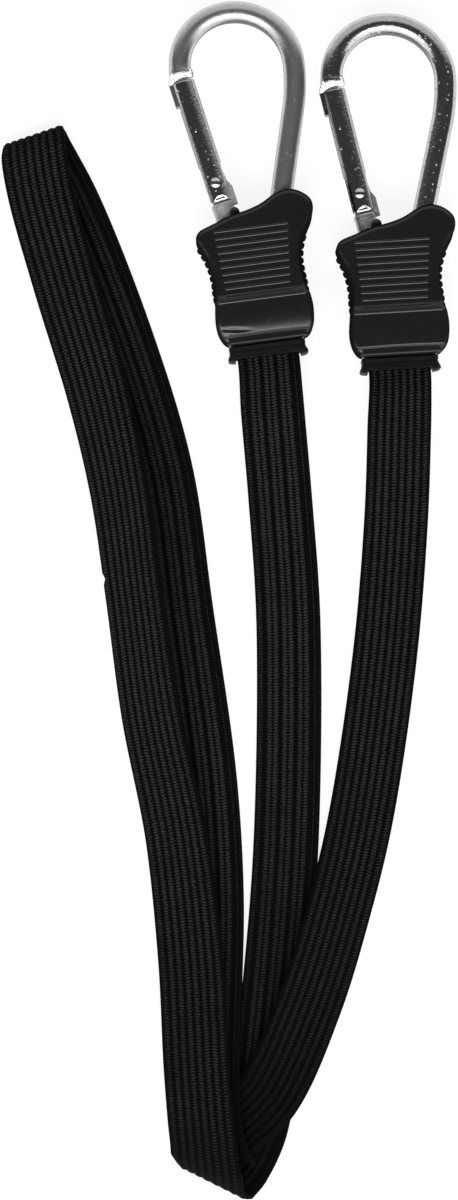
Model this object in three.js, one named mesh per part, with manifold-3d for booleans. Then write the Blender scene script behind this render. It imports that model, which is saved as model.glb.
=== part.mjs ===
// A flat elastic bungee cord, lying folded, with a spring-gate hook in a moulded fitting at each end.
// Millimetres, +Z up. The origin is on the table, under the middle of the two end fittings.
import * as THREE from "three";
import { mergeVertices } from "three/addons/utils/BufferGeometryUtils.js";
import Module from "manifold-3d";

const wasm = await Module();
wasm.setup();

// Fits
const FIT = 0.3; // clearance between pieces that touch
const PARTING = 0.3; // gap between the two covers

// Strap and its anchorage
const STRAP_WIDTH = 17.8;
const STRAP_THICK = 2.4;
const STRAP_EDGE = 0.6; // chamfer along the strap's edges
const PLY_GAP = 0.5; // between the standing ply and the tail in the crimp
const TAIL_PAST = 0.5; // the tail reaches this far past the crimp
const PIN_D = 4;
const PIN_SEAT = 1.4; // how far each pin end goes into the covers
const PIN_PAST_CRIMP = 4.8; // from the crimp to the middle of the pin
const CRIMP_LENGTH = 3.2;
const CRIMP_WALL = 0.5;

// Collar at the strap's mouth
const LIP_LENGTH = 1.8;
const LIP_OUT = 0.6; // the lip stands out from the neck
const LIP_SCALLOP = 1.2; // depth of the scallop between the lip's ears
const NECK_LENGTH = 2.7;
const NECK_SIDE = 1.7; // neck wall beside the strap
const NECK_HALF = 4.4; // half of the neck's thickness
const SPIGOT_SIDE = 0.7;
const SPIGOT_HALF = 3.5;
const FLANGE_LENGTH = 0.9;
const FLANGE_OUT = 0.5;
const COLLAR_ROUND = 1.6; // corner radius of the collar's section

// Covers
const END_WALL = 1.5; // cover wall that the collar's spigot passes
const SIDE_WALL = 1.4; // least wall outside a peg's socket
const PEG_WALL = 0.4; // wall between the strap's chamber and a socket
const PEG_D = 1.7;
const PEG_LENGTH = 2.6; // how far a peg reaches past the parting face
const PAD_HALF = 7; // half thickness at the smooth pad
const GRIP_HALF = 6; // half thickness at the grip
const PAD_RISE = 12.5; // length of the pad from the cover's end to its ledge
const EDGE_IN = 1.8; // width of the rounded edge, seen from the front
const EDGE_DROP = 2; // depth of the rounded edge
const RIDGES = 10;
const RIDGE_PITCH = 2.05;
const RIDGE_WIDTH = 0.8;
const RIDGE_HEIGHT = 0.4;
const RIDGE_SPAN = 19; // length of a ridge across the grip
const TEETH = 5;
const TOOTH_PITCH = 2.05;
const TOOTH_DROP = 9.6; // from the middle of the hook's base down to the lowest tooth
const TOOTH_R = 1;
const TOOTH_OUT = 0.35; // a tooth's middle stands this far outside the waist
const TOOTH_HALF = 2.8; // half height of a side tooth
const NUB_R = 1.4; // moulded nub beside the stub of the hook

// Hook
const BAR_D = 6.3;
const CROWN_R = 15.85; // mean centreline radius of the hook's crown
const CROWN_SKEW = 0.5; // the crown is wider than that one way, and narrower across it
const CROWN_LEAN = 155; // direction of the crown's wider way, degrees from +X
const CROWN_X = 1.6;
const CROWN_RISE = 67.7; // from the strap pin to the crown's centre
const BACK_R = 50; // gentle bend below the crown
const BASE_R = 5.75; // bend of the base inside the covers
const BASE_X = 0.5;
const BASE_RISE = 18; // from the strap pin to the middle of that bend
const NOSE_PAST = 2; // degrees by which the crown stops short of its own middle height
const TONGUE_LENGTH = 10.3;
const TONGUE_THICK = 2;
const TONGUE_OUT = 4.1; // tongue width outside the gate's axis
const TONGUE_IN = 1.3; // and inside it
const SHOULDER_D = 6.5;
const SHOULDER_LENGTH = 1.8;
const LUG_THICK = 2.3;
const LUG_OUT = 2.6; // lug width outside the gate's axis
const HEEL_IN = 4.3; // lug width inside it, at the heel
const HEEL_TOP = -1.5; // the heel's top, from the pivot
const CAM_R = 3.6; // cam radius under the plunger with the gate shut
const CAM_LIFT = 2; // plunger lift per radian of opening

// Gate
const GATE_D = 6.6;
const GATE_OUT = 0.35; // the gate's axis passes this far outside the nose
const GATE_REACH = 34; // from the pivot to the nose
const GATE_TOP_GAP = 3.5; // between the gate's top and the nose
const GATE_TAIL = 4.4; // gate length below the pivot
const GATE_OPEN = 36; // degrees
const SHOULDER_GAP = 0.25; // between the shoulder and the gate's turning tail
const RIVET_D = 1.9;
const RIVET_HEAD_D = 3;
const RIVET_HEAD = 0.6;
const SPOT_FACE = 0.5; // depth of the flat under a rivet head
const PLUNGER_D = 2.9;
const PLUNGER_TIP_D = 2.2;
const PLUNGER_HEAD = 2.6;
const SPRING_WIRE = 0.5;
const SPRING_TURNS = 8;
const SPRING_PITCH = 0.98;

// Where the two fittings lie: the middle of the collar's mouth, and the turn in degrees
const FITTINGS = [
  { name: "a", x: -12.4, y: -48.8, turn: 7.3 },
  { name: "b", x: 25.1, y: -52.7, turn: 3.4 },
];

// The strap's route between the fittings, chosen by hand:
// x, y, height, turn of the strap's width from +X in degrees, roll in degrees (right edge up)
const ROUTE = [
  [-11.3, -62.5, 4.4, 5.9, 0],
  [-9.1, -87.3, 1.5, 4.6, 0],
  [-6.7, -123.1, 1.4, 1.8, 0],
  [-7.2, -183.2, 1.4, -3, 0],
  [-9.8, -220.4, 1.4, -5.5, 0],
  [-14.8, -262.3, 1.4, -18, 0],
  [-17.5, -272.3, 1.5, -26, 0],
  [-21.7, -279.4, 2.7, -28, 0],
  [-28.1, -282.7, 6.5, -27, 0],
  [-30.0, -278.5, 10.8, -21, 0],
  [-31.2, -269.9, 11.7, -10, 0],
  [-32.9, -250.6, 10.5, 2.5, 0],
  [-34.6, -220.1, 7.5, 3.8, 7],
  [-38.7, -185.1, 5.2, 9, 18],
  [-45.9, -150.0, 5.5, 9.5, 24],
  [-50.7, -116.5, 6, 8, 29],
  [-55.0, -86.2, 5.6, 11, 26],
  [-61.0, -59.0, 4.7, 14.8, 18],
  [-70.6, -26.5, 4.4, 16, 10],
  [-77.7, -0.8, 5, 14.5, 4],
  [-79.6, 10.6, 5.4, 18, 0],
  [-79.8, 14.8, 3.4, 19, 0],
  [-78.1, 11.2, 1.8, 20, 0],
  [-69.5, -5.1, 1.4, 23.6, 0],
  [-54.6, -43.1, 1.4, 18.4, 0],
  [-43.5, -80.1, 1.4, 11.8, 0],
  [-37.6, -120.2, 1.4, 7.2, 0],
  [-30.8, -168.8, 1.4, 6.2, 0],
  [-28.8, -203.0, 2.3, 0.8, 0],
  [-29.4, -231.6, 5, -1.2, 0],
  [-30.0, -257.1, 7.7, -10, 0],
  [-29.0, -268.8, 8.1, -22, 0],
  [-27.1, -273.1, 6.3, -26, 0],
  [-22.3, -268.5, 4.6, -28, 0],
  [-12.3, -258.5, 4.6, -30, 0],
  [-0.8, -233.1, 4.55, -19, -6],
  [8.0, -204.9, 3.45, -17, -9.5],
  [14.2, -178.9, 2.1, -12, -5],
  [21.0, -133.1, 1.5, -5.6, 0],
  [24.2, -94.4, 1.6, -2, 0],
  [25.0, -67.1, 4.4, 1.6, 0],
];
const SPAN_STEPS = 2; // strap sections from one station to the next

const rad = THREE.MathUtils.degToRad;

// Sizes that follow from those above, in a fitting's own frame:
// x across the strap, y from the collar's mouth towards the hook, z from the parting plane to the front.
const strapHalf = STRAP_WIDTH / 2;
const ply = (STRAP_THICK + PLY_GAP) / 2; // height of each ply in the crimp
const slotHalf = strapHalf + FIT;
const slotHalfThick = STRAP_THICK / 2 + FIT;
const neckTop = LIP_LENGTH + NECK_LENGTH;
const coverEnd = neckTop + FIT;
const flangeStart = coverEnd + END_WALL + FIT;
const flangeEnd = flangeStart + FLANGE_LENGTH;
const crimpStart = flangeEnd + FIT + TAIL_PAST;
const crimpEnd = crimpStart + CRIMP_LENGTH;
const crimpInside = { x: strapHalf + FIT, z: ply + STRAP_THICK / 2 + FIT };
const crimpOutside = { x: crimpInside.x + CRIMP_WALL, z: crimpInside.z + CRIMP_WALL };
const pinY = crimpEnd + PIN_PAST_CRIMP;
const loopR = PIN_D / 2 + FIT + STRAP_THICK / 2; // middle of the strap round the pin
const loopOutside = loopR + STRAP_THICK / 2;
const chamberHalf = crimpOutside.x + FIT;
const pinHalf = chamberHalf + PIN_SEAT;
const socketR = PEG_D / 2 + FIT;
const pegX = chamberHalf + PEG_WALL + socketR;
const padHalf = pegX + socketR + SIDE_WALL;
const ledgeY = coverEnd + PAD_RISE;
const barR = BAR_D / 2;
const gateR = GATE_D / 2;
const slotZ = LUG_THICK / 2 + FIT; // half width of the gate's lower slot
const camTop = CAM_R + CAM_LIFT * rad(GATE_OPEN);
const slotTop = camTop + 2 * FIT;
const shoulderDrop = Math.hypot(GATE_TAIL, gateR) + SHOULDER_GAP;
const boreR = PLUNGER_D / 2 + FIT;
const plungerTip = CAM_R + FIT;
const plungerSeat = slotTop + FIT; // underside of the plunger's head
const springStart = plungerSeat + PLUNGER_HEAD + FIT + SPRING_WIRE / 2;
const springEnd = springStart + SPRING_TURNS * SPRING_PITCH;
const boreEnd = springEnd + SPRING_WIRE / 2 + FIT;

const crown = new THREE.Vector2(CROWN_X, pinY + CROWN_RISE);
const crownLong = CROWN_R + CROWN_SKEW;
const crownShort = CROWN_R - CROWN_SKEW;
const crownStart = Math.PI - rad(NOSE_PAST + CROWN_LEAN); // round from the wider way
const crownStop = -Math.atan2(crownShort * Math.sin(rad(CROWN_LEAN)), crownLong * Math.cos(rad(CROWN_LEAN)));
const onCrown = (round) =>
  new THREE.Vector2(crownLong * Math.cos(round), crownShort * Math.sin(round))
    .rotateAround(new THREE.Vector2(), rad(CROWN_LEAN))
    .add(crown);
const nose = onCrown(crownStart);
const base = new THREE.Vector2(BASE_X, pinY + BASE_RISE);

// The gate's line runs from beside the nose and touches the bend of the base.
const latch = new THREE.Vector2(nose.x - GATE_OUT, nose.y);
const toBase = base.clone().sub(latch);
const gateHeading = Math.atan2(toBase.y, toBase.x) - Math.asin(BASE_R / toBase.length());
const gateTilt = gateHeading + Math.PI / 2;
const gateDown = new THREE.Vector2(Math.cos(gateHeading), Math.sin(gateHeading));
const pivot = latch.clone().addScaledVector(gateDown, GATE_REACH);
const gateTop = GATE_REACH - GATE_TOP_GAP;
const gateFrame = new THREE.Matrix4().makeRotationZ(gateTilt).setPosition(pivot.x, pivot.y, 0);

// The back bends gently from the crown, and then runs straight to touch the bend of the base.
const backCentre = onCrown(crownStop).sub(new THREE.Vector2(BACK_R, 0));
const backToBase = base.clone().sub(backCentre);
const backTurn = Math.acos((BACK_R - BASE_R) / backToBase.length());
const backTilt = -Math.atan2(backToBase.y, backToBase.x) - backTurn;

// A solid of a closed geometry, and the geometry of a solid.
function solid(geometry, matrix = new THREE.Matrix4()) {
  const bare = geometry.clone().applyMatrix4(matrix);
  bare.deleteAttribute("normal");
  bare.deleteAttribute("uv");
  const merged = mergeVertices(bare, 1e-4);
  return new wasm.Manifold(
    new wasm.Mesh({
      numProp: 3,
      vertProperties: merged.attributes.position.array,
      triVerts: new Uint32Array(merged.index.array),
    }),
  );
}

function geometryOf(made) {
  const mesh = made.getMesh();
  const geometry = new THREE.BufferGeometry();
  geometry.setAttribute("position", new THREE.BufferAttribute(mesh.vertProperties, 3));
  geometry.setIndex(new THREE.BufferAttribute(mesh.triVerts, 1));
  geometry.computeVertexNormals();
  return geometry;
}

const at = (x, y, z) => new THREE.Matrix4().makeTranslation(x, y, z);
const join = (solids) => solids.reduce((all, next) => all.add(next));
const cut = (body, solids) => solids.reduce((all, next) => all.subtract(next), body);

// A box between two corners.
function block(low, high) {
  const size = high.map((v, i) => v - low[i]);
  const middle = high.map((v, i) => (v + low[i]) / 2);
  return solid(new THREE.BoxGeometry(...size), at(...middle));
}

// A cylinder along x, y or z, from one end to the other on that axis.
function rod(axis, radius, from, to, centre, sides) {
  const geometry = new THREE.CylinderGeometry(radius, radius, to - from, sides);
  if (axis === "x") geometry.rotateZ(Math.PI / 2);
  if (axis === "z") geometry.rotateX(Math.PI / 2);
  const middle = { ...centre, [axis]: (from + to) / 2 };
  return solid(geometry, at(middle.x, middle.y, middle.z));
}

// A flat plate of an outline, half a thickness to each side of z = 0.
function plate(shape, thickness, bevel = {}) {
  const drop = bevel.drop ?? 0;
  const geometry = new THREE.ExtrudeGeometry(shape, {
    depth: thickness - 2 * drop,
    curveSegments: 6,
    bevelEnabled: drop > 0,
    bevelThickness: drop,
    bevelSize: bevel.inset ?? 0,
    bevelOffset: -(bevel.inset ?? 0),
    bevelSegments: 2,
  });
  return solid(geometry, at(0, 0, drop - thickness / 2));
}

// A sleeve section: a rounded rectangle across x and z, from one y to another.
function sleeve(halfX, halfZ, round, from, to, centreZ = 0) {
  const shape = new THREE.Shape();
  shape.moveTo(halfX - round, -halfZ);
  shape.absarc(halfX - round, -halfZ + round, round, -Math.PI / 2, 0);
  shape.absarc(halfX - round, halfZ - round, round, 0, Math.PI / 2);
  shape.absarc(-halfX + round, halfZ - round, round, Math.PI / 2, Math.PI);
  shape.absarc(-halfX + round, -halfZ + round, round, Math.PI, (3 * Math.PI) / 2);
  const geometry = new THREE.ExtrudeGeometry(shape, {
    depth: to - from,
    curveSegments: 3,
    bevelEnabled: false,
  });
  geometry.rotateX(-Math.PI / 2).rotateY(Math.PI).rotateZ(Math.PI);
  geometry.computeBoundingBox();
  const low = geometry.boundingBox.min;
  return solid(geometry, at(-low.x - halfX, from - low.y, centreZ - low.z - halfZ));
}

// The hook's centreline in the parting plane, from the nose round the crown and down to the stub.
class HookLine extends THREE.Curve {
  constructor() {
    super();
    const stub = pivot.clone().addScaledVector(gateDown, shoulderDrop + SHOULDER_LENGTH / 2);
    this.path = new THREE.Path();
    const lean = rad(CROWN_LEAN);
    this.path.absellipse(crown.x, crown.y, crownLong, crownShort, crownStart, crownStop, true, lean);
    this.path.absarc(backCentre.x, backCentre.y, BACK_R, 0, -backTilt, true);
    this.path.absarc(base.x, base.y, BASE_R, -backTilt, gateTilt - Math.PI, true);
    this.path.lineTo(stub.x, stub.y);
  }

  getPoint(t, target = new THREE.Vector3()) {
    const p = this.path.getPointAt(t);
    return target.set(p.x, p.y, 0);
  }
}

// A round bar of a radius along the hook's centreline.
function hookTube(radius, sides, steps) {
  const section = new THREE.Shape();
  section.absarc(0, 0, radius, 0, 2 * Math.PI);
  const points = new THREE.Shape(section.getSpacedPoints(sides).slice(0, sides));
  const geometry = new THREE.ExtrudeGeometry(points, {
    steps,
    bevelEnabled: false,
    extrudePath: new HookLine(),
  });
  return solid(geometry);
}

// The hinge lug: a flat tongue with a cam that rises as the gate opens over it, and a heel below.
function lugShape() {
  const shape = new THREE.Shape();
  const foot = -shoulderDrop - SHOULDER_LENGTH + FIT;
  const polar = (angle, r) => shape.lineTo(r * Math.sin(angle), r * Math.cos(angle));
  shape.moveTo(-LUG_OUT, foot);
  shape.lineTo(-LUG_OUT, 0);
  for (const deg of [-40, -20]) polar(rad(deg), CAM_R);
  const camSteps = 5;
  for (let i = 0; i <= camSteps; i++) {
    const angle = (rad(GATE_OPEN) * i) / camSteps;
    polar(angle, CAM_R + CAM_LIFT * angle);
  }
  shape.lineTo(gateR, 0);
  shape.lineTo(HEEL_IN, HEEL_TOP);
  shape.lineTo(HEEL_IN, foot);
  return shape;
}

// The nose's tongue: spread at its root as wide as the bar, then narrower inside the gate's slot.
function tongueShape() {
  const origin = new THREE.Vector2();
  const onNose = (x, y) => new THREE.Vector2(x, y).add(nose).sub(pivot).rotateAround(origin, -gateTilt);
  const rootHalf = barR * 0.9; // just inside the round of the bar
  const foot = GATE_REACH - TONGUE_LENGTH;
  const overGate = gateTop + 2 * FIT;
  return new THREE.Shape([
    new THREE.Vector2(-TONGUE_OUT, foot),
    new THREE.Vector2(TONGUE_IN, foot),
    new THREE.Vector2(TONGUE_IN, overGate),
    new THREE.Vector2(gateR, overGate),
    onNose(rootHalf, 0),
    onNose(rootHalf, barR / 2),
    onNose(-rootHalf, barR / 2),
    onNose(-rootHalf, 0),
    new THREE.Vector2(-TONGUE_OUT, overGate),
  ]);
}

function hookBar() {
  const onGate = (made) => solid(geometryOf(made), gateFrame);
  const tongue = plate(tongueShape(), TONGUE_THICK);
  const shoulder = rod(
    "y",
    SHOULDER_D / 2,
    -shoulderDrop - SHOULDER_LENGTH,
    -shoulderDrop,
    { x: 0, z: 0 },
    16,
  );
  const hole = rod("z", RIVET_D / 2 + FIT, -LUG_THICK, LUG_THICK, { x: 0, y: 0 }, 12);
  const lug = plate(lugShape(), LUG_THICK).subtract(hole);
  return join([hookTube(barR, 10, 60), onGate(tongue), onGate(shoulder), onGate(lug)]);
}

// The gate, in its own frame: the pivot at the origin and +y along its length.
function gate() {
  const far = 2 * GATE_D;
  const tongueFoot = GATE_REACH - TONGUE_LENGTH - 4 * FIT;
  const tube = rod("y", gateR, -GATE_TAIL, gateTop, { x: 0, z: 0 }, 18);
  const lowerSlot = block([-far, -far, -slotZ], [far, slotTop, slotZ]);
  const bore = rod("y", boreR, slotTop - FIT, boreEnd, { x: 0, z: 0 }, 12);
  const upperSlot = block(
    [-far, tongueFoot, -TONGUE_THICK / 2 - FIT],
    [TONGUE_IN + FIT, gateTop + far, TONGUE_THICK / 2 + FIT],
  );
  const hole = rod("z", RIVET_D / 2 + FIT, -far, far, { x: 0, y: 0 }, 12);
  const spots = [1, -1].map((side) => {
    const ends = [side * (gateR - SPOT_FACE), side * far].sort((a, b) => a - b);
    return rod("z", RIVET_HEAD_D / 2 + FIT, ends[0], ends[1], { x: 0, y: 0 }, 14);
  });
  return cut(tube, [lowerSlot, bore, upperSlot, hole, ...spots]);
}

function gateRivet() {
  const seat = gateR - SPOT_FACE + FIT;
  const profile = [
    [0, -seat - RIVET_HEAD],
    [RIVET_HEAD_D * 0.32, -seat - RIVET_HEAD],
    [RIVET_HEAD_D / 2, -seat - RIVET_HEAD / 2],
    [RIVET_HEAD_D / 2, -seat],
    [RIVET_D / 2, -seat],
    [RIVET_D / 2, seat],
    [RIVET_HEAD_D / 2, seat],
    [RIVET_HEAD_D / 2, seat + RIVET_HEAD / 2],
    [RIVET_HEAD_D * 0.32, seat + RIVET_HEAD],
    [0, seat + RIVET_HEAD],
  ].map(([r, y]) => new THREE.Vector2(r, y));
  return solid(new THREE.LatheGeometry(profile, 14).rotateX(Math.PI / 2));
}

function springPlunger() {
  const tipR = PLUNGER_TIP_D / 2;
  const headR = PLUNGER_D / 2;
  const profile = [[0, plungerTip]];
  for (const deg of [30, 60, 90]) {
    profile.push([tipR * Math.sin(rad(deg)), plungerTip + tipR * (1 - Math.cos(rad(deg)))]);
  }
  profile.push([tipR, plungerSeat], [headR, plungerSeat], [headR, plungerSeat + PLUNGER_HEAD]);
  profile.push([0, plungerSeat + PLUNGER_HEAD]);
  return solid(new THREE.LatheGeometry(profile.map(([r, y]) => new THREE.Vector2(r, y)), 12));
}

// A closed surface over rings of points, each ring in the same order, with flat ends.
function skin(rings) {
  const sides = rings[0].length;
  const positions = rings.flat().flatMap((p) => [p.x, p.y, p.z]);
  const index = [];
  for (let i = 0; i + 1 < rings.length; i++) {
    for (let j = 0; j < sides; j++) {
      const a = i * sides + j;
      const b = i * sides + ((j + 1) % sides);
      index.push(a, b, a + sides, b, b + sides, a + sides);
    }
  }
  const last = (rings.length - 1) * sides;
  for (let j = 1; j + 1 < sides; j++) {
    index.push(0, j + 1, j, last, last + j, last + j + 1);
  }
  const geometry = new THREE.BufferGeometry();
  geometry.setAttribute("position", new THREE.Float32BufferAttribute(positions, 3));
  geometry.setIndex(index);
  return geometry;
}

// The coil spring in the gate's bore: one unbroken wire of five sides, eight steps a turn.
function gateSpring() {
  const steps = 8;
  const sides = 5;
  const coilR = PLUNGER_D / 2 - SPRING_WIRE / 2;
  const rings = [];
  for (let i = 0; i <= SPRING_TURNS * steps; i++) {
    const turn = (2 * Math.PI * i) / steps;
    const out = new THREE.Vector3(Math.cos(turn), 0, Math.sin(turn));
    const middle = out.clone().multiplyScalar(coilR);
    middle.y = springStart + (SPRING_PITCH * i) / steps;
    const ring = [];
    for (let j = 0; j < sides; j++) {
      const angle = (2 * Math.PI * j) / sides;
      const p = middle.clone().addScaledVector(out, (SPRING_WIRE / 2) * Math.cos(angle));
      p.y += (SPRING_WIRE / 2) * Math.sin(angle);
      ring.push(p);
    }
    rings.push(ring);
  }
  console.log("spring: least gap to itself", leastGap(rings, steps - 2).toFixed(2), "mm");
  return solid(skin(rings));
}

// Least distance between points of rings that are more than a number of rings apart.
function leastGap(rings, apart) {
  let least = Infinity;
  rings.forEach((ring, i) => {
    rings.slice(i + apart + 1).forEach((other) => {
      if (ring[0].distanceTo(other[0]) > 4 * STRAP_WIDTH) return;
      for (const p of ring) {
        for (const q of other) least = Math.min(least, p.distanceTo(q));
      }
    });
  });
  return least;
}

function strapPin() {
  return rod("x", PIN_D / 2, -pinHalf, pinHalf, { y: pinY, z: 0 }, 14);
}

function strapCrimp() {
  const { x, z } = crimpOutside;
  const inside = crimpInside;
  const band = block([-x, crimpStart, -z], [x, crimpEnd, z]);
  return band.subtract(block([-inside.x, 0, -inside.z], [inside.x, pinY, inside.z]));
}

function mouthCollar() {
  const neck = slotHalf + NECK_SIDE;
  const spigot = slotHalf + SPIGOT_SIDE;
  const flange = spigot + FLANGE_OUT;
  const parts = [
    sleeve(neck + LIP_OUT, NECK_HALF + LIP_OUT, COLLAR_ROUND, 0, LIP_LENGTH),
    sleeve(neck, NECK_HALF, COLLAR_ROUND, LIP_LENGTH - FIT, neckTop),
    sleeve(spigot, SPIGOT_HALF, COLLAR_ROUND, neckTop - FIT, flangeStart + FIT),
    sleeve(flange, SPIGOT_HALF + FLANGE_OUT, COLLAR_ROUND, flangeStart, flangeEnd),
  ];
  const far = NECK_HALF * 3;
  const slot = block(
    [-slotHalf, -LIP_LENGTH, -ply - slotHalfThick],
    [slotHalf, pinY, -ply + slotHalfThick],
  );
  const scallop = block([-slotHalf, -LIP_LENGTH, -far], [slotHalf, LIP_SCALLOP, far]);
  return cut(join(parts), [slot, scallop]);
}

// The covers' outline: the lower part is set from the pad, the upper part from the hook's base.
function coverOutline() {
  const shift = 0.3; // the pad bulges a little further on the hook's back side
  const low = (fromEdge, y, side) => [side * (padHalf - fromEdge) + shift, coverEnd + y];
  const waist = (share) => ledgeY - coverEnd + share * (base.y - ledgeY); // up from the ledge
  const high = (x, y) => [base.x + x, base.y + y];
  const points = [
    low(4.2, 0, -1), low(2, 0.9, -1), low(0.6, 3.5, -1), low(0.1, 7.3, -1),
    low(0.6, waist(0), -1), low(1.3, waist(0.4), -1),
    high(-14.1, -4.8), high(-15.8, -1), high(-16.8, 1.5), high(-15.8, 3.6), high(-11.5, 5.4),
    high(-5.5, 7.5), high(-2, 8.1), high(2.5, 9.5), high(7.5, 12.1), high(11, 12.7),
    high(14.5, 11.5), high(17.1, 8.8), high(17.1, 5.3), high(14.5, 1), high(12.7, -2.8),
    low(2.1, waist(0.55), 1), low(1.4, waist(0.2), 1), low(0.2, waist(-0.1), 1),
    low(0, 7.1, 1), low(0.6, 3.1, 1), low(2, 0.8, 1), low(4.2, 0, 1),
  ];
  const curve = new THREE.CatmullRomCurve3(
    points.map(([x, y]) => new THREE.Vector3(x, y, 0)),
    true,
    "centripetal",
  );
  return curve.getSpacedPoints(64).slice(0, 64).map((p) => new THREE.Vector2(p.x, p.y));
}

// Grip ridges across both faces, from the top of the grip down to the pad's ledge.
function gripRidges() {
  const ridges = [];
  const section = new THREE.Shape([
    new THREE.Vector2(-RIDGE_WIDTH / 2, -RIDGE_HEIGHT),
    new THREE.Vector2(RIDGE_WIDTH / 2, -RIDGE_HEIGHT),
    new THREE.Vector2(RIDGE_WIDTH / 4, RIDGE_HEIGHT),
    new THREE.Vector2(-RIDGE_WIDTH / 4, RIDGE_HEIGHT),
  ]);
  for (let i = 0; i < RIDGES; i++) {
    const geometry = new THREE.ExtrudeGeometry(section, { depth: RIDGE_SPAN, bevelEnabled: false });
    geometry.translate(0, 0, -RIDGE_SPAN / 2).rotateZ(-Math.PI / 2).rotateY(Math.PI / 2);
    const y = ledgeY + 1.5 + RIDGE_PITCH * i;
    for (const side of [1, -1]) {
      const turn = new THREE.Matrix4().makeRotationX(side > 0 ? 0 : Math.PI);
      ridges.push(solid(geometry, turn.premultiply(at(0, y, side * GRIP_HALF))));
    }
  }
  return ridges;
}

// Small grip teeth down both sides of the waist, on the parting line.
function sideTeeth(outline) {
  const teeth = [];
  for (const side of [-1, 1]) {
    const onSide = outline.filter((p) => (p.x - base.x) * side > 0);
    for (let i = 0; i < TEETH; i++) {
      const y = base.y - TOOTH_DROP + TOOTH_PITCH * i;
      const edge = onSide.reduce((best, p) => (Math.abs(p.y - y) < Math.abs(best.y - y) ? p : best));
      const centre = { x: edge.x + side * TOOTH_OUT, y: edge.y };
      teeth.push(rod("z", TOOTH_R, -TOOTH_HALF, TOOTH_HALF, centre, 6));
    }
  }
  return teeth;
}

const pegs = [
  { x: -pegX, y: (crimpStart + crimpEnd) / 2 },
  { x: pegX, y: (crimpStart + crimpEnd) / 2 },
  { x: base.x, y: base.y + BASE_R * 0.45 },
  { x: base.x - BASE_R - barR - 3.8, y: base.y + 1.5 },
  { x: base.x + BASE_R + barR + 5, y: base.y + 7 },
];

// Both covers as one block, hollowed for the hook, the strap's loop, the crimp, the pin and the collar.
function coverBlock() {
  const outline = coverOutline();
  const shape = new THREE.Shape(outline);
  const edge = { drop: EDGE_DROP, inset: EDGE_IN };
  const far = 3 * padHalf;
  const belowLedge = block([-far, -far, -far], [far, ledgeY, far]);
  const nub = rod("z", NUB_R, -GRIP_HALF / 2, GRIP_HALF / 2, { x: base.x - 4.8, y: base.y + 8.3 }, 10);
  const outside = join([
    plate(shape, 2 * GRIP_HALF, edge),
    plate(shape, 2 * PAD_HALF, edge).intersect(belowLedge),
    nub,
    ...gripRidges(),
    ...sideTeeth(outline),
  ]);
  const spigot = { x: slotHalf + SPIGOT_SIDE + FIT, z: SPIGOT_HALF + FIT };
  const flange = { x: spigot.x + FLANGE_OUT, z: spigot.z + FLANGE_OUT };
  const crimp = { x: chamberHalf, z: crimpOutside.z + FIT };
  const loop = loopOutside + FIT;
  return cut(outside, [
    block([-far, -far, -far], [far, coverEnd, far]),
    hookTube(barR + FIT, 10, 48),
    block([-spigot.x, 0, -spigot.z], [spigot.x, flangeStart, spigot.z]),
    block([-flange.x, flangeStart - FIT, -flange.z], [flange.x, flangeEnd + FIT, flange.z]),
    block([-crimp.x, flangeEnd, -crimp.z], [crimp.x, pinY, crimp.z]),
    rod("x", loop, -strapHalf - FIT, strapHalf + FIT, { y: pinY, z: 0 }, 18),
    rod("x", PIN_D / 2 + FIT, -pinHalf - FIT, pinHalf + FIT, { y: pinY, z: 0 }, 14),
  ]);
}

function covers() {
  const both = coverBlock();
  const far = 3 * crown.y;
  const half = PARTING / 2;
  const front = both.intersect(block([-far, -far, half], [far, far, far]));
  const rear = both.intersect(block([-far, -far, -far], [far, far, -half]));
  const pegRods = pegs.map((p) => rod("z", PEG_D / 2, -PEG_LENGTH, PEG_LENGTH, p, 10));
  const sockets = pegs.map((p) => rod("z", socketR, 0, PEG_LENGTH + FIT, p, 10));
  return { front: cut(front, sockets), rear: join([rear, ...pegRods]) };
}

// Strap stations inside a fitting, from the tail round the pin and out of the collar, in its own frame.
function strapEnd() {
  const points = [
    [crimpStart - TAIL_PAST, ply],
    [crimpEnd, ply],
  ];
  for (const deg of [108, 72, 36, 0, -36, -72, -108]) {
    points.push([pinY + loopR * Math.cos(rad(deg)), loopR * Math.sin(rad(deg))]);
  }
  points.push([crimpEnd, -ply], [flangeEnd, -ply], [LIP_LENGTH, -ply], [-LIP_LENGTH, -ply]);
  return points.map(([y, z]) => new THREE.Vector3(0, y, z));
}

function fittingMatrix({ x, y, turn }) {
  return new THREE.Matrix4().makeRotationZ(rad(turn)).setPosition(x, y, PAD_HALF);
}

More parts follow.
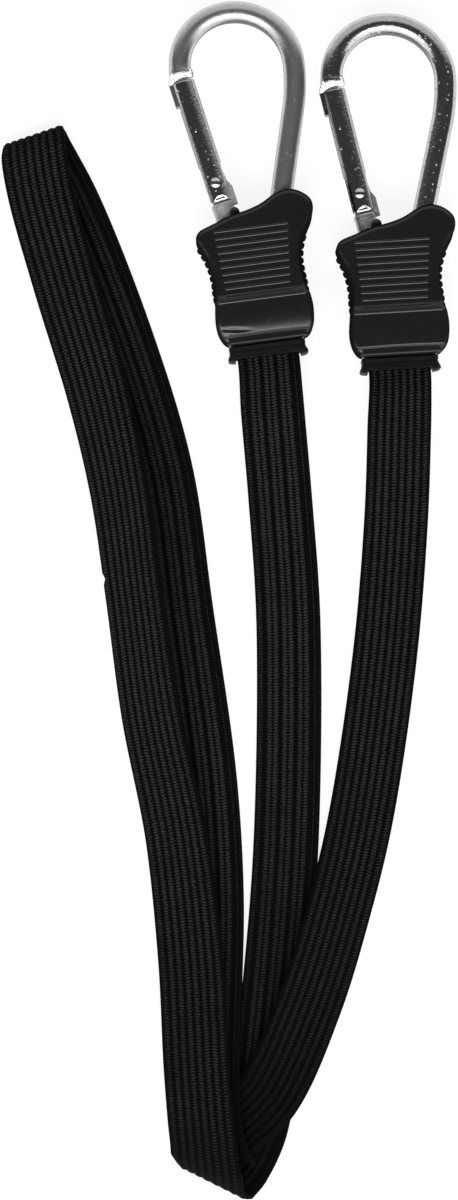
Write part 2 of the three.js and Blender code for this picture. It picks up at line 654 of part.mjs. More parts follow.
// The whole strap: both looped ends and the route between them, as one skin of eight-sided sections.
function strap() {
  const [startEnd, farEnd] = FITTINGS.map((fitting) =>
    strapEnd().map((p) => {
      const world = p.applyMatrix4(fittingMatrix(fitting));
      return [world.x, world.y, world.z, fitting.turn, 0];
    }),
  );
  const stations = [...startEnd, ...ROUTE, ...farEnd.reverse()];
  const line = new THREE.CatmullRomCurve3(
    stations.map(([x, y, z]) => new THREE.Vector3(x, y, z)),
    false,
    "centripetal",
  );
  const twist = new THREE.CatmullRomCurve3(
    stations.map(([, , , turn, roll]) => new THREE.Vector3(turn, roll, 0)),
    false,
    "catmullrom",
  );
  const spans = stations.length - 1;
  const halfT = STRAP_THICK / 2;
  const section = [
    [-1, -halfT + STRAP_EDGE, 0], [-1, -halfT, STRAP_EDGE], [1, -halfT, STRAP_EDGE],
    [1, -halfT + STRAP_EDGE, 0], [1, halfT - STRAP_EDGE, 0], [1, halfT, STRAP_EDGE],
    [-1, halfT, STRAP_EDGE], [-1, halfT - STRAP_EDGE, 0],
  ];
  const rings = [];
  for (let i = 0; i <= spans * SPAN_STEPS; i++) {
    const u = i / (spans * SPAN_STEPS);
    const [turn, roll] = twist.getPoint(u).toArray().map(rad);
    const across = new THREE.Vector3(
      Math.cos(turn) * Math.cos(roll),
      Math.sin(turn) * Math.cos(roll),
      Math.sin(roll),
    );
    const normal = line.getTangent(u).cross(across);
    const half = strapHalf / Math.max(normal.length(), 0.75);
    normal.normalize();
    const middle = line.getPoint(u);
    rings.push(
      section.map(([side, up, inset]) =>
        middle.clone().addScaledVector(across, side * (half - inset)).addScaledVector(normal, up),
      ),
    );
  }
  console.log("strap: length", line.getLength().toFixed(0), "mm");
  const free = rings.slice(startEnd.length * SPAN_STEPS, -farEnd.length * SPAN_STEPS);
  console.log("strap: least gap between its folds", leastGap(free, 5).toFixed(2), "mm");
  return solid(skin(rings));
}

// Materials, from the photograph
const metal = (color, roughness) => new THREE.MeshStandardMaterial({ color, roughness, metalness: 1 });
const plastic = (color, roughness) => new THREE.MeshStandardMaterial({ color, roughness, metalness: 0 });
const MATERIALS = {
  hook_bar: metal(0xc9cbcc, 0.22),
  gate: metal(0xbfc1c2, 0.26),
  gate_rivet: metal(0xd6d6d4, 0.2),
  gate_spring: metal(0x8d8f91, 0.35),
  spring_plunger: metal(0x9a9c9e, 0.35),
  front_cover: plastic(0x161617, 0.38),
  rear_cover: plastic(0x161617, 0.38),
  mouth_collar: plastic(0x121213, 0.45),
  strap_pin: metal(0x8a8c8f, 0.35),
  strap_crimp: metal(0x94969a, 0.4),
  elastic_strap: plastic(0x1b1b1c, 0.85),
};

function piece(kind, made, end) {
  const mesh = new THREE.Mesh(geometryOf(made), MATERIALS[kind]);
  mesh.name = end ? `${kind}_${end}` : kind;
  return mesh;
}

function fitting(place, parts) {
  const group = new THREE.Group();
  group.position.set(place.x, place.y, PAD_HALF);
  group.rotation.z = rad(place.turn);
  const gateGroup = new THREE.Group();
  gateGroup.position.set(pivot.x, pivot.y, 0);
  gateGroup.rotation.z = gateTilt;
  for (const [kind, made] of Object.entries(parts.fixed)) group.add(piece(kind, made, place.name));
  for (const [kind, made] of Object.entries(parts.onGate)) gateGroup.add(piece(kind, made, place.name));
  group.add(gateGroup);
  return group;
}

const shells = covers();
const fittingParts = {
  fixed: {
    hook_bar: hookBar(),
    front_cover: shells.front,
    rear_cover: shells.rear,
    mouth_collar: mouthCollar(),
    strap_pin: strapPin(),
    strap_crimp: strapCrimp(),
  },
  onGate: {
    gate: gate(),
    gate_rivet: gateRivet(),
    gate_spring: gateSpring(),
    spring_plunger: springPlunger(),
  },
};

const bungeeCord = new THREE.Group();
bungeeCord.name = "bungee_cord";
for (const place of FITTINGS) bungeeCord.add(fitting(place, fittingParts));
bungeeCord.add(piece("elastic_strap", strap()));

export default bungeeCord;
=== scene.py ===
"""A flat elastic bungee cord lying folded, with a spring-gate hook in a moulded fitting at each end.

Shapes are in millimetres. A fitting's frame has x across the strap, y from the collar's mouth towards the
hook, and z from the covers' parting plane to the front. A gate's frame has the pivot at its origin and y
along the gate. Points become metres in the cord's frame when they go into a mesh.
"""
import math

import bmesh
import bpy
import numpy as np
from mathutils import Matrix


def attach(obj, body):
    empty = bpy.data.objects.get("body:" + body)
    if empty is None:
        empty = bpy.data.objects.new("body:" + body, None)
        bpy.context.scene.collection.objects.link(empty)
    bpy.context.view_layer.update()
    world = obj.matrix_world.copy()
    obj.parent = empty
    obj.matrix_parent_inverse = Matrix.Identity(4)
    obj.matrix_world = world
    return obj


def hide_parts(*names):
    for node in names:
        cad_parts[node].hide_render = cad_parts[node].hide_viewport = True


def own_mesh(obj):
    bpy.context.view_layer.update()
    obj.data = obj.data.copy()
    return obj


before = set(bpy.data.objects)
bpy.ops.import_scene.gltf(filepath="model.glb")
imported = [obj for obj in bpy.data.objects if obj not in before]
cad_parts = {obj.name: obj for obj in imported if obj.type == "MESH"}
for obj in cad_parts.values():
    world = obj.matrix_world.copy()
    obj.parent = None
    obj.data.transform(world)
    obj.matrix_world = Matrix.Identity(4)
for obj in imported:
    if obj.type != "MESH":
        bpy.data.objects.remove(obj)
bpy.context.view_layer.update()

MM = 0.001

# Where each fitting lies: the middle of its mouth, and its turn in degrees
FITTINGS = {"a": (-12.4, -48.8, 7.3), "b": (25.1, -52.7, 3.4)}
TABLE_TO_PARTING = 7.0

# The photograph's frame
IMAGE_SIZE = (458, 1200)
MM_PER_PIXEL = 18 / 63
VIEW_CENTRE = (-23.714, -117.357)
CAMERA_HEIGHT = 900.0
SCALE_HEIGHT = 5.0  # the scale above holds at this height over the table
SENSOR = 36.0

# Table in millimetres, and light in metres and watts
TABLE_HALF = 12000.0
TABLE_DROP = 0.05
TABLE_WHITE = 0.8
TABLE_SHADE = 0.26  # what shadows take away, as the camera sees it
TABLE_GLOW = 0.86
BOX_SIZE = (1.3, 0.55)
BOX_POWER = 7.5
BOX_AT = (-0.05, -0.8, 0.95)
BOX_TILT = math.radians(40)
ROOM = 0.045
BACKDROP = 0.65
PANEL = 1.25

# Fits
FIT = 0.3
PARTING = 0.3

# Strap and its anchorage
STRAP_WIDTH = 17.8
STRAP_THICK = 2.4
PLY_GAP = 0.5
TAIL_PAST = 0.5
PIN_D = 4.0
PIN_SEAT = 1.4
PIN_PAST_CRIMP = 4.8
CRIMP_LENGTH = 3.2
CRIMP_WALL = 0.5
RIB_PITCH = 2.1  # pairs of ribs are two of these apart
EVEN_RIBS = 8
PAIR_SHIFT = -0.25  # the pairs lie this far off the strap's middle
PAIR_RIB = 0.9  # from the middle of a pair of ribs to a rib's own middle
PAIR_GROOVE = 0.55  # depth between pairs, on the face with pairs
RIB_GROOVE = 0.4  # depth between the two ribs of a pair
EVEN_GROOVE = 0.42  # depth between ribs on the other face
WEFT_PITCH = 0.85
FREE_SPREAD = 0.5  # the free strap lies this much wider to each side than in the fittings
NICK_AT = (-51.1, -110.0, 6.0)  # a small crease in the strap's edge
NICK_DEPTH = 0.8
NICK_FROM = 6.5  # from the strap's middle to where the nick begins
NICK_RAMP = 2.4
NICK_HALF = 0.9
# Tips of the folds, and how far each side draws in there
FOLDS = [(-79.8, 14.8, 3.4, 1.4, 0.8), (-28.1, -282.7, 6.5, 2.6, 1.2)]
SHADES = [  # places where shade is painted into the weave's colour, in the folds and on the lower legs, the reach of that along the strap, and its depth
    (-27.1, -273.1, 6.3, 55, 0.92), (-69.5, -5.1, 1.4, 18, 0.55), (-28.1, -282.7, 6.5, 13, 0.7),
    (-43.5, -80.1, 1.4, 70, 0.35), (-17.5, -272.3, 1.5, 16, 0.7), (-9.8, -220.4, 1.4, 55, 0.42),
    (-31.2, -269.9, 11.7, 70, 0.38), (8.0, -204.9, 3.45, 60, 0.25),
]
STRAP_STEPS = (0.6, 1.75)  # least and most between sections
PATH_STEPS = 24000  # places at which the curve is measured
BEND_STEP = 0.42  # turn of the curve between sections, in radians
STEP_EASE = 81  # measured places over which the steps are evened out
FREE_EASE = ((1, 15), (5, 160))  # it widens over both these stretches from a fitting
SELVEDGE_DROP = 0.4  # depth of the selvedges under the ribs
HEM_RISE = 0.3  # height of the threads along them

# Collar
LIP_LENGTH = 1.8
LIP_OUT = 0.6
LIP_SCALLOP = 1.2
NECK_LENGTH = 2.7
NECK_SIDE = 1.7
NECK_HALF = 4.4
SPIGOT_SIDE = 0.7
SPIGOT_HALF = 3.5
FLANGE_LENGTH = 0.9
FLANGE_OUT = 0.5
COLLAR_ROUND = 1.6

# Covers
COVER_TOP = 12.75  # from the middle of the hook's base
FACE_COLUMNS = 86
COLUMN_EASE = 0.65  # how much closer together they are towards the edges
WALL_ROWS = (0, 0.35, 0.62, 0.7, 0.85)  # heights of the walls' points, as shares
STRAIGHT_END = 0.8  # the edge doesn't round off this near the covers' end
END_WALL = 1.5
SIDE_WALL = 1.4
PEG_WALL = 0.4
PEG_D = 1.7
GRIP_HALF = 6.0
PAD_HALF = 7.0
PAD_RISE = 12.5
EDGE_IN = 1.6
EDGE_DROP = 1.7
PAD_FALL = {"a": 1.35, "b": 0.4}  # how far the pad bends down to its crease
PAD_BEND = 1.75  # the power by which it bends
PAD_FLAT = 9.8  # from the covers' end to where it starts to bend
CREASE_UP = 2.55  # from the covers' end to the crease, in the middle
CREASE_BOW = 0.35
CREASE_STEP = 0.3
ROLL = {"a": 0.8, "b": 0.5}  # length of the round edge at the crease
ROLL_DROP = {"a": 0.35, "b": 0.22}
LOW_PAD = 0.15  # depth of the pad's lower part under that edge
# A dent in the pad: across, up from the covers' end, its half sizes and its depth
DENTS = {"a": [(-8.8, 4.3, 3.4, 0.55, 0.22), (-10.2, 2.9, 2.0, 0.5, 0.15)], "b": []}
DENT_SLANT = 0.12
LOW_SLOPE = 0.09  # fall of the pad's lower part to its rim
LEDGE_STEPS = [(0.55, -0.1, 0.25), (0.45, 0.0, 2.4)]  # shares of the step to the grip, each with its ends
PAD_LINE = (0.3, 0.25, 0.14)  # the raised line: below the ledge, its half width and height
RIM_UP = 0.6
RIM_HALF = 0.36
RIM_HEIGHT = 0.3
RIM_FALL = 0.6
RIDGES = 10
RIDGE_PITCH = 2.05
RIDGE_FIRST = 1.5  # above the pad's ledge
RIDGE_HALF = 0.3
RIDGE_HEIGHT = 0.11
RIDGE_SPAN = (18.6, 21.6)  # length of the lowest and the highest
RIDGE_SHIFT = -0.5
TEETH = 8
SMALL_TEETH = 3  # the lowest are smaller
SMALL_TOOTH = 0.6
TOOTH_PITCH = 2.05
TOOTH_DROP = 15.75  # from the middle of the hook's base down to the lowest tooth
TOOTH_HALF_PITCH = 0.8
TOOTH_OUT = 0.4
NOTCH_IN = 0.25  # depth of the notches between teeth
TOOTH_TOP = 2.8
WAIST_DRAFT = 0.85  # the waist's walls spread this much from the face to the parting plane
WAIST_START = (-18, -12)  # from the middle of the hook's base
WAIST_END = ((-2.0, 2.0), (1.5, 5.5))  # the same, on the left and the right
NUB_R = 1.4
NUB_AT = (-4.8, 8.3)  # from the middle of the hook's base

# Hook
BAR_D = 6.3
CAST_REACH = (12.0, 16.0)  # the metal is as cast this near the hinge, and tumbled past it
BAR_SIDES = 48
BAR_STEP = 0.35
GLINT_LINE = (0.22, 0.09)  # a row of pale painted glints: out from the bar's middle, and its width, in radii
CROWN_R = 15.85
CROWN_SKEW = 0.5
CROWN_LEAN = math.radians(155)
CROWN_X = 1.6
CROWN_RISE = 67.7
BACK_R = 50.0
BASE_R = 5.75
BASE_X = 0.5
BASE_RISE = 18.0
NOSE_PAST = math.radians(2)
NOSE_DROP = 1.3  # the bar reaches this far past the nose
NOSE_FLARE = 0.2
FLARE_REACH = 1.3
NOSE_CHAMFER = 0.4
TONGUE_LENGTH = 10.3
TONGUE_THICK = 2.0
TONGUE_OUT = 4.1
TONGUE_IN = 1.3
TONGUE_ROUND = 0.35
TONGUE_ROOT = 34.6  # where it leaves the bar, from the pivot
SHOULDER_D = 6.5
SHOULDER_LENGTH = 1.8
LUG_THICK = 2.3
LUG_OUT = 2.6
HEEL_IN = 4.3
HEEL_TOP = -1.5
CAM_R = 3.6
CAM_LIFT = 2.0
CAM_BACK = math.radians(136)

# Gate
GATE_D = 6.6
GATE_OUT = 0.35
GATE_EDGE = 0.35
GATE_REACH = 34.0
GATE_TOP_GAP = 3.5
GATE_TAIL = 4.4
GATE_OPEN = math.radians(36)
TAIL_ROUND = 5.4  # the tail is round about the pivot
TAIL_FACET = 3.75  # from the pivot to the flat across the end of the tail
FACET_SLOPE = math.tan(math.radians(31))
FACET_SLIT = (-1.4, 1.2, 4.35, 4.8)  # sides of the slit in that flat, and its ends from the pivot
SHOULDER_GAP = 0.25
RIVET_D = 1.9
RIVET_HEAD_D = 3.0
RIVET_HEAD = 0.6
SPOT_FACE = 0.5
PLUNGER_D = 2.9
PLUNGER_HEAD = 2.6
SPRING_WIRE = 0.5
SPRING_TURNS = 8
SPRING_PITCH = 0.98
WIRE_SIDES = 12
POLE_R = 0.05  # lathed ends start this far off their axis

# The strap's route: x, y, height, and the turn and roll of its width in degrees
ROUTE = [
    (-11.3, -62.5, 4.4, 5.9, 0), (-9.1, -87.3, 1.5, 4.6, 0), (-6.7, -123.1, 1.4, 1.8, 0),
    (-7.2, -183.2, 1.4, -3, 0), (-9.8, -220.4, 1.4, -5.5, 0), (-14.8, -262.3, 1.4, -18, 0),
    (-17.5, -272.3, 1.5, -26, 0), (-21.7, -279.4, 2.7, -28, 0), (-28.1, -282.7, 6.5, -27, 0),
    (-30.0, -278.5, 10.8, -21, 0), (-31.2, -269.9, 11.7, -10, 0), (-32.9, -250.6, 10.5, 2.5, 0),
    (-34.6, -220.1, 7.5, 3.8, 7), (-38.7, -185.1, 5.2, 9, 18), (-45.9, -150.0, 5.5, 9.5, 24),
    (-50.7, -116.5, 6, 8, 29), (-55.0, -86.2, 5.6, 11, 26), (-61.0, -59.0, 4.7, 14.8, 18),
    (-70.6, -26.5, 4.4, 16, 10),
    (-77.7, -0.8, 5, 14.5, 4), (-79.6, 10.6, 5.4, 18, 0), (-79.8, 14.8, 3.4, 19, 0),
    (-78.1, 11.2, 1.8, 20, 0), (-69.5, -5.1, 1.4, 23.6, 0), (-54.6, -43.1, 1.4, 18.4, 0),
    (-43.5, -80.1, 1.4, 11.8, 0), (-37.6, -120.2, 1.4, 7.2, 0), (-30.8, -168.8, 1.4, 6.2, 0),
    (-28.8, -203.0, 2.3, 0.8, 0), (-29.4, -231.6, 5, -1.2, 0), (-30.0, -257.1, 7.7, -10, 0),
    (-29.0, -268.8, 8.1, -22, 0), (-27.1, -273.1, 6.3, -26, 0), (-22.3, -268.5, 4.6, -28, 0),
    (-12.3, -258.5, 4.6, -30, 0), (-0.8, -233.1, 4.55, -19, -6), (8.0, -204.9, 3.45, -17, -9.5),
    (14.2, -178.9, 2.1, -12, -5), (21.0, -133.1, 1.5, -5.6, 0), (24.2, -94.4, 1.6, -2, 0),
    (25.0, -67.1, 4.4, 1.6, 0),
]

# Sizes that follow
ply = (STRAP_THICK + PLY_GAP) / 2
strap_half = STRAP_WIDTH / 2
slot_half = strap_half + FIT
cover_end = LIP_LENGTH + NECK_LENGTH + FIT
flange_start = cover_end + END_WALL + FIT
flange_end = flange_start + FLANGE_LENGTH
crimp_start = flange_end + FIT + TAIL_PAST
crimp_end = crimp_start + CRIMP_LENGTH
pin_y = crimp_end + PIN_PAST_CRIMP
loop_r = PIN_D / 2 + FIT + STRAP_THICK / 2
crimp_half = (strap_half + FIT + CRIMP_WALL, ply + STRAP_THICK / 2 + FIT + CRIMP_WALL)
chamber_half = crimp_half[0] + FIT
pad_half = chamber_half + PEG_WALL + 2 * (PEG_D / 2 + FIT) + SIDE_WALL
ledge_y = cover_end + PAD_RISE
bar_r = BAR_D / 2
crown_half = (CROWN_R + CROWN_SKEW, CROWN_R - CROWN_SKEW)
gate_r = GATE_D / 2
gate_top = GATE_REACH - GATE_TOP_GAP
slot_z = LUG_THICK / 2 + FIT
cam_top = CAM_R + CAM_LIFT * GATE_OPEN
slot_top = cam_top + 2 * FIT
shoulder_drop = math.hypot(GATE_TAIL, gate_r) + SHOULDER_GAP
bore_r = PLUNGER_D / 2 + FIT
spring_start = slot_top + FIT + PLUNGER_HEAD + FIT + SPRING_WIRE / 2
spring_end = spring_start + SPRING_TURNS * SPRING_PITCH
bore_end = spring_end + SPRING_WIRE / 2 + FIT


# Points and curves

def turned(points, angle):
    """Points turned about z by an angle."""
    c, s = math.cos(angle), math.sin(angle)
    out = np.array(points, float)
    x, y = out[..., 0].copy(), out[..., 1].copy()
    out[..., 0] = c * x - s * y
    out[..., 1] = s * x + c * y
    return out


def unit(vectors):
    """Vectors drawn to length 1."""
    return vectors / np.linalg.norm(vectors, axis=-1, keepdims=True)


def catmull(points, place, power, closed=False):
    """A Catmull-Rom curve through points, at places from 0 to 1 counted in stations. Its knots are spaced
    by the distance between points raised to a power: 0.5 is centripetal, 0 is even."""
    points = np.asarray(points, float)
    if closed:
        longer = np.vstack([points[-1:], points, points[:2]])
    else:
        longer = np.vstack([2 * points[0] - points[1], points, 2 * points[-1] - points[-2]])
    spans = len(longer) - 3
    along = np.clip(place, 0, 1) * spans
    first = np.minimum(along.astype(int), spans - 1)
    w = (along - first)[:, None]
    p0, p1, p2, p3 = (longer[first + k] for k in range(4))
    d0, d1, d2 = (
        np.linalg.norm(b - a, axis=1, keepdims=True) ** power for a, b in ((p0, p1), (p1, p2), (p2, p3))
    )
    m1 = d1 * ((p1 - p0) / d0 - (p2 - p0) / (d0 + d1) + (p2 - p1) / d1)
    m2 = d1 * ((p2 - p1) / d1 - (p3 - p1) / (d1 + d2) + (p3 - p2) / d2)
    w2, w3 = w * w, w * w * w
    return (2 * w3 - 3 * w2 + 1) * p1 + (w3 - 2 * w2 + w) * m1 + (3 * w2 - 2 * w3) * p2 + (w3 - w2) * m2


def arc_length(path):
    """The way along a polyline to each of its points."""
    steps = np.linalg.norm(np.diff(path, axis=0), axis=1)
    return np.concatenate([[0], np.cumsum(steps)])


def evenly(path, step):
    """A polyline resampled at even steps along its length."""
    run = arc_length(path)
    at = np.linspace(0, run[-1], int(round(run[-1] / step)) + 1)
    return np.stack([np.interp(at, run, path[:, k]) for k in range(path.shape[1])], 1)


def step_up(x, low, high):
    """0 below low, 1 above high, and a smooth rise between."""
    w = np.clip((x - low) / (high - low), 0, 1)
    return w * w * (3 - 2 * w)


def bell(x):
    """A bell curve: e to the power of minus the square."""
    return np.exp(-(x**2))


def half_round(x):
    """Height of a half circle of radius 1 over places from -1 to 1, and 0 beyond."""
    return np.sqrt(np.clip(1 - x**2, 0, 1))


def full_turn(count):
    """Even angles round a circle."""
    return np.linspace(0, 2 * math.pi, count, endpoint=False)


def arc(centre, radius, start, stop, count=60):
    """Points round part of a circle."""
    around = np.linspace(start, stop, count)
    return centre + radius * np.stack([np.cos(around), np.sin(around)], 1)


# The hook's line, in a fitting's frame

def on_crown(around):
    """The crown's ellipse, its long way leaning, at angles round it."""
    ellipse = np.stack([np.cos(around), np.sin(around)], -1) * crown_half
    return turned(ellipse, CROWN_LEAN) + (CROWN_X, pin_y + CROWN_RISE)


crown_start = math.pi - NOSE_PAST - CROWN_LEAN
crown_stop = -math.atan2(crown_half[1] * math.sin(CROWN_LEAN), crown_half[0] * math.cos(CROWN_LEAN))
nose = on_crown(np.array(crown_start))
base = np.array([BASE_X, pin_y + BASE_RISE])
latch = nose - (GATE_OUT, 0)
to_base = base - latch
gate_heading = math.atan2(to_base[1], to_base[0]) - math.asin(BASE_R / math.hypot(*to_base))
gate_tilt = gate_heading + math.pi / 2
gate_down = np.array([math.cos(gate_heading), math.sin(gate_heading)])
pivot = latch + GATE_REACH * gate_down
back_centre = on_crown(np.array(crown_stop)) - (BACK_R, 0)
back_to_base = base - back_centre
back_tilt = -math.atan2(back_to_base[1], back_to_base[0]) - math.acos(
    (BACK_R - BASE_R) / math.hypot(*back_to_base)
)
stub = pivot + (shoulder_drop + SHOULDER_LENGTH / 2) * gate_down


def hook_line(step):
    """Points down the middle of the hook's bar: the crown's ellipse from the nose, the back's gentle arc, a
    straight, the arc of the base, and a straight to the stub."""
    path = np.vstack([
        on_crown(np.linspace(crown_start + NOSE_DROP / CROWN_R, crown_stop, 240)),
        arc(back_centre, BACK_R, 0, -back_tilt)[1:],
        arc(base, BASE_R, -back_tilt, gate_tilt - math.pi),
        stub,
    ])
    return evenly(path, step)


# Meshes

def in_fitting(points, end):
    """Points of a fitting's frame in the cord's frame."""
    x, y, turn = FITTINGS[end]
    return turned(points, math.radians(turn)) + (x, y, TABLE_TO_PARTING)


def on_gate(points):
    """Points of a gate's frame in its fitting's frame."""
    return turned(points, gate_tilt) + (pivot[0], pivot[1], 0)


def put(name, data):
    """A new object in the scene."""
    made = bpy.data.objects.new(name, data)
    bpy.context.scene.collection.objects.link(made)
    return made


def put_mesh(name, points, faces, uv=None):
    """An object of points in millimetres and of faces given as arrays of corner numbers, one array for each
    count of corners. uv is a pair of numbers for each corner of each face."""
    mesh = bpy.data.meshes.new(name)
    corners = [face for group in faces for face in group.tolist()]
    mesh.from_pydata(np.asarray(points, float) * MM, [], corners, shade_flat=False)
    if uv is not None:
        layer = mesh.uv_layers.new(name="along_across")
        layer.data.foreach_set("uv", np.asarray(uv, float).ravel())
    return put(name, mesh)


def turn_outwards(mesh):
    """Make the faces of a closed mesh point outwards."""
    shape = bmesh.new()
    shape.from_mesh(mesh)
    bmesh.ops.recalc_face_normals(shape, faces=shape.faces)
    shape.to_mesh(mesh)
    shape.free()


def mark_points(piece, name, values):
    """Write a number on each of a piece's points, for its finish to read."""
    piece.data.attributes.new(name, "FLOAT", "POINT").data.foreach_set("value", values)


def loft(name, rings):
    """A closed skin over rings of points: quads from ring to ring, and a fan of triangles over each end."""
    rows, sides = rings.shape[:2]
    j = np.arange(sides)
    k = (j + 1) % sides
    low = np.arange(rows - 1)[:, None] * sides
    high = low + sides
    middles = rows * sides
    last = middles - sides
    points = np.vstack([rings.reshape(-1, 3), rings[0].mean(0), rings[-1].mean(0)])
    faces = [np.stack([low + j, low + k, high + k, high + j], -1).reshape(-1, 4)]
    for fan in ((k, j, middles), (last + j, last + k, middles + 1)):
        faces.append(np.stack(np.broadcast_arrays(*fan), 1))
    piece = put_mesh(name, points, faces)
    turn_outwards(piece.data)
    return piece


def gate_loft(name, rings, end):
    """A skin over rings that are given in a gate's frame."""
    return loft(name, in_fitting(on_gate(rings), end))


def sweep_rings(line, radius, sides):
    """Circles of a radius, or of one radius each, round a flat line in the parting plane."""
    ahead = unit(np.gradient(line, axis=0))
    side = np.stack([-ahead[:, 1], ahead[:, 0], np.zeros(len(line))], 1)
    around = full_turn(sides)[None, :, None]
    radius = np.broadcast_to(radius, len(line))[:, None, None]
    centre = np.column_stack([line, np.zeros(len(line))])[:, None, :]
    return centre + radius * (np.cos(around) * side[:, None, :] + np.sin(around) * np.array([0, 0, 1.0]))


def lathe_rings(profile, sides, axis="y"):
    """Circles about an axis from a profile of radius and place along it."""
    profile = np.asarray(profile, float)
    around = full_turn(sides)
    r, along = profile[:, :1], np.repeat(profile[:, 1:], sides, 1)
    a, b = r * np.cos(around), r * np.sin(around)
    return np.stack({"x": (along, a, b), "y": (a, along, b), "z": (a, b, along)}[axis], -1)


def post_rings(radius, low, high, sides, axis="y"):
    """A round post between two places on an axis."""
    return lathe_rings([(radius, low), (radius, high)], sides, axis)


def slab_rings(outline, low, high, edge=0.0):
    """A flat outline carried from one height to another, drawn in by an edge at both ends."""
    outline = np.asarray(outline, float)
    out = outline - outline.mean(0)
    reach = np.abs(out).max(0)
    levels = [(low, edge), (low + edge, 0), (high - edge, 0), (high, edge)]
    return np.array([
        np.column_stack([outline.mean(0) + out * (1 - drawn / reach), np.full(len(outline), z)])
        for z, drawn in (levels if edge else levels[::3])
    ])


def box_rings(low, high):
    """A box between two corners."""
    (x0, y0, z0), (x1, y1, z1) = low, high
    return slab_rings([(x0, y0), (x1, y0), (x1, y1), (x0, y1)], z0, z1)


def rounded_ring(y, left, right, low, high, radius, steps=6):
    """A rectangle across x and z at a place y, with round corners of the same number of points each."""
    x0, x1, z0, z1 = left + radius, right - radius, low + radius, high - radius
    around = np.linspace(0, math.pi / 2, steps) + (np.arange(4) * math.pi / 2)[:, None]
    x = np.array([[x1], [x0], [x0], [x1]]) + radius * np.cos(around)
    z = np.array([[z1], [z1], [z0], [z0]]) + radius * np.sin(around)
    return np.stack([x, np.full(x.shape, y), z], -1).reshape(-1, 3)


def shape_with(piece, tools, operation):
    """Cut tools from a piece or join them to it, then clear the tools away."""
    for tool in tools:
        step = piece.modifiers.new("shape", "BOOLEAN")
        step.operation = operation
        step.solver = "EXACT"
        step.object = tool
    bpy.context.view_layer.update()
    done = bpy.data.meshes.new_from_object(piece.evaluated_get(bpy.context.evaluated_depsgraph_get()))
    piece.modifiers.clear()
    old, piece.data = piece.data, done
    bpy.data.meshes.remove(old)
    for tool in tools:
        spent = tool.data
        bpy.data.objects.remove(tool)
        bpy.data.meshes.remove(spent)
    return piece


def dress(piece, finish, body, slot, *nodes, crease=40):
    """Give a piece its finish, smooth shading up to a crease angle, its body and replaced nodes. The slot is
    not used.
    """
    mesh = piece.data
    mesh.materials.clear()
    mesh.materials.append(finish)
    mesh.polygons.foreach_set("use_smooth", np.ones(len(mesh.polygons), bool))
    mesh.set_sharp_from_angle(angle=math.radians(crease))
    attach(piece, body)
    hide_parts(*nodes)
    return piece


# Finishes

class Wire:
    """A shader socket in Python arithmetic: each operator on values adds a Math node."""

    def __init__(self, tree, socket=None):
        self.tree = tree
        self.socket = socket

    def node(self, kind, settings=None, sockets=None, out=0):
        """Add a shader node, make its settings, feed its sockets with values or wires, give an output."""
        made = self.tree.nodes.new("ShaderNode" + kind)
        for name, value in (settings or {}).items():
            setattr(made, name, value)
        for name, value in (sockets or {}).items():
            if isinstance(value, Wire):
                self.tree.links.new(value.socket, made.inputs[name])
            else:
                made.inputs[name].default_value = value
        return Wire(self.tree, made.outputs[out] if made.outputs else None)

    def other(self, out):
        """Another output of the same node."""
        return Wire(self.tree, self.socket.node.outputs[out])

    def mark(self, name):
        """The number that a piece's points carry under a name."""
        return self.node("Attribute", {"attribute_name": name}, None, "Fac")

    def math(self, operation, *values):
        return self.node("Math", {"operation": operation}, dict(enumerate((self, *values))))

    def __add__(self, value):
        return self.math("ADD", value)

    __radd__ = __add__

    def __sub__(self, value):
        return self.math("SUBTRACT", value)

    def __rsub__(self, value):
        return self.node("Math", {"operation": "SUBTRACT"}, {0: value, 1: self})

    def __mul__(self, value):
        return self.math("MULTIPLY", value)

    __rmul__ = __mul__

    def __truediv__(self, value):
        return self.math("DIVIDE", value)

    def clamp(self):
        return self.node("Clamp", None, {0: self})

    def mix(self, low, high):
        """A colour between two, by this value."""
        return self.node("Mix", {"data_type": "RGBA"}, {0: self, 6: low, 7: high}, 2)


def grey(level, warm=0.0):
    """A near-neutral colour, a little warmer or cooler."""
    return (level * (1 + warm), level, level * (1 - warm), 1)


def emptied(holder):
    """Empty the tree of a material or a world, ready for wires."""
    holder.use_nodes = True
    holder.node_tree.nodes.clear()
    return Wire(holder.node_tree)


def blank(name):
    """A new material with an empty tree."""
    material = bpy.data.materials.new(name)
    return material, emptied(material)


def surface(start, sockets):
    """End a tree in a Principled shader."""
    shader = start.node("BsdfPrincipled", None, sockets)
    start.node("OutputMaterial", None, {"Surface": shader})


def two_surfaces(start, factor, first, second):
    """End a tree in a mix of two shaders."""
    both = start.node("MixShader", None, {0: factor, 1: first, 2: second})
    start.node("OutputMaterial", None, {"Surface": both})


def noise(start, place, scale, detail=3.0, roughness=0.5):
    """Cloudy noise, with this many blotches to a unit of its place."""
    sockets = {"Vector": place, "Scale": scale, "Detail": detail, "Roughness": roughness}
    return start.node("TexNoise", None, sockets)


def cells(start, place, scale):
    """Distance to the nearest of scattered points."""
    return start.node("TexVoronoi", {"feature": "F1"}, {"Vector": place, "Scale": scale})


def bump(start, height, strength, distance):
    """A normal tilted by the slope of a height."""
    return start.node("Bump", None, {"Strength": strength, "Distance": distance, "Height": height})


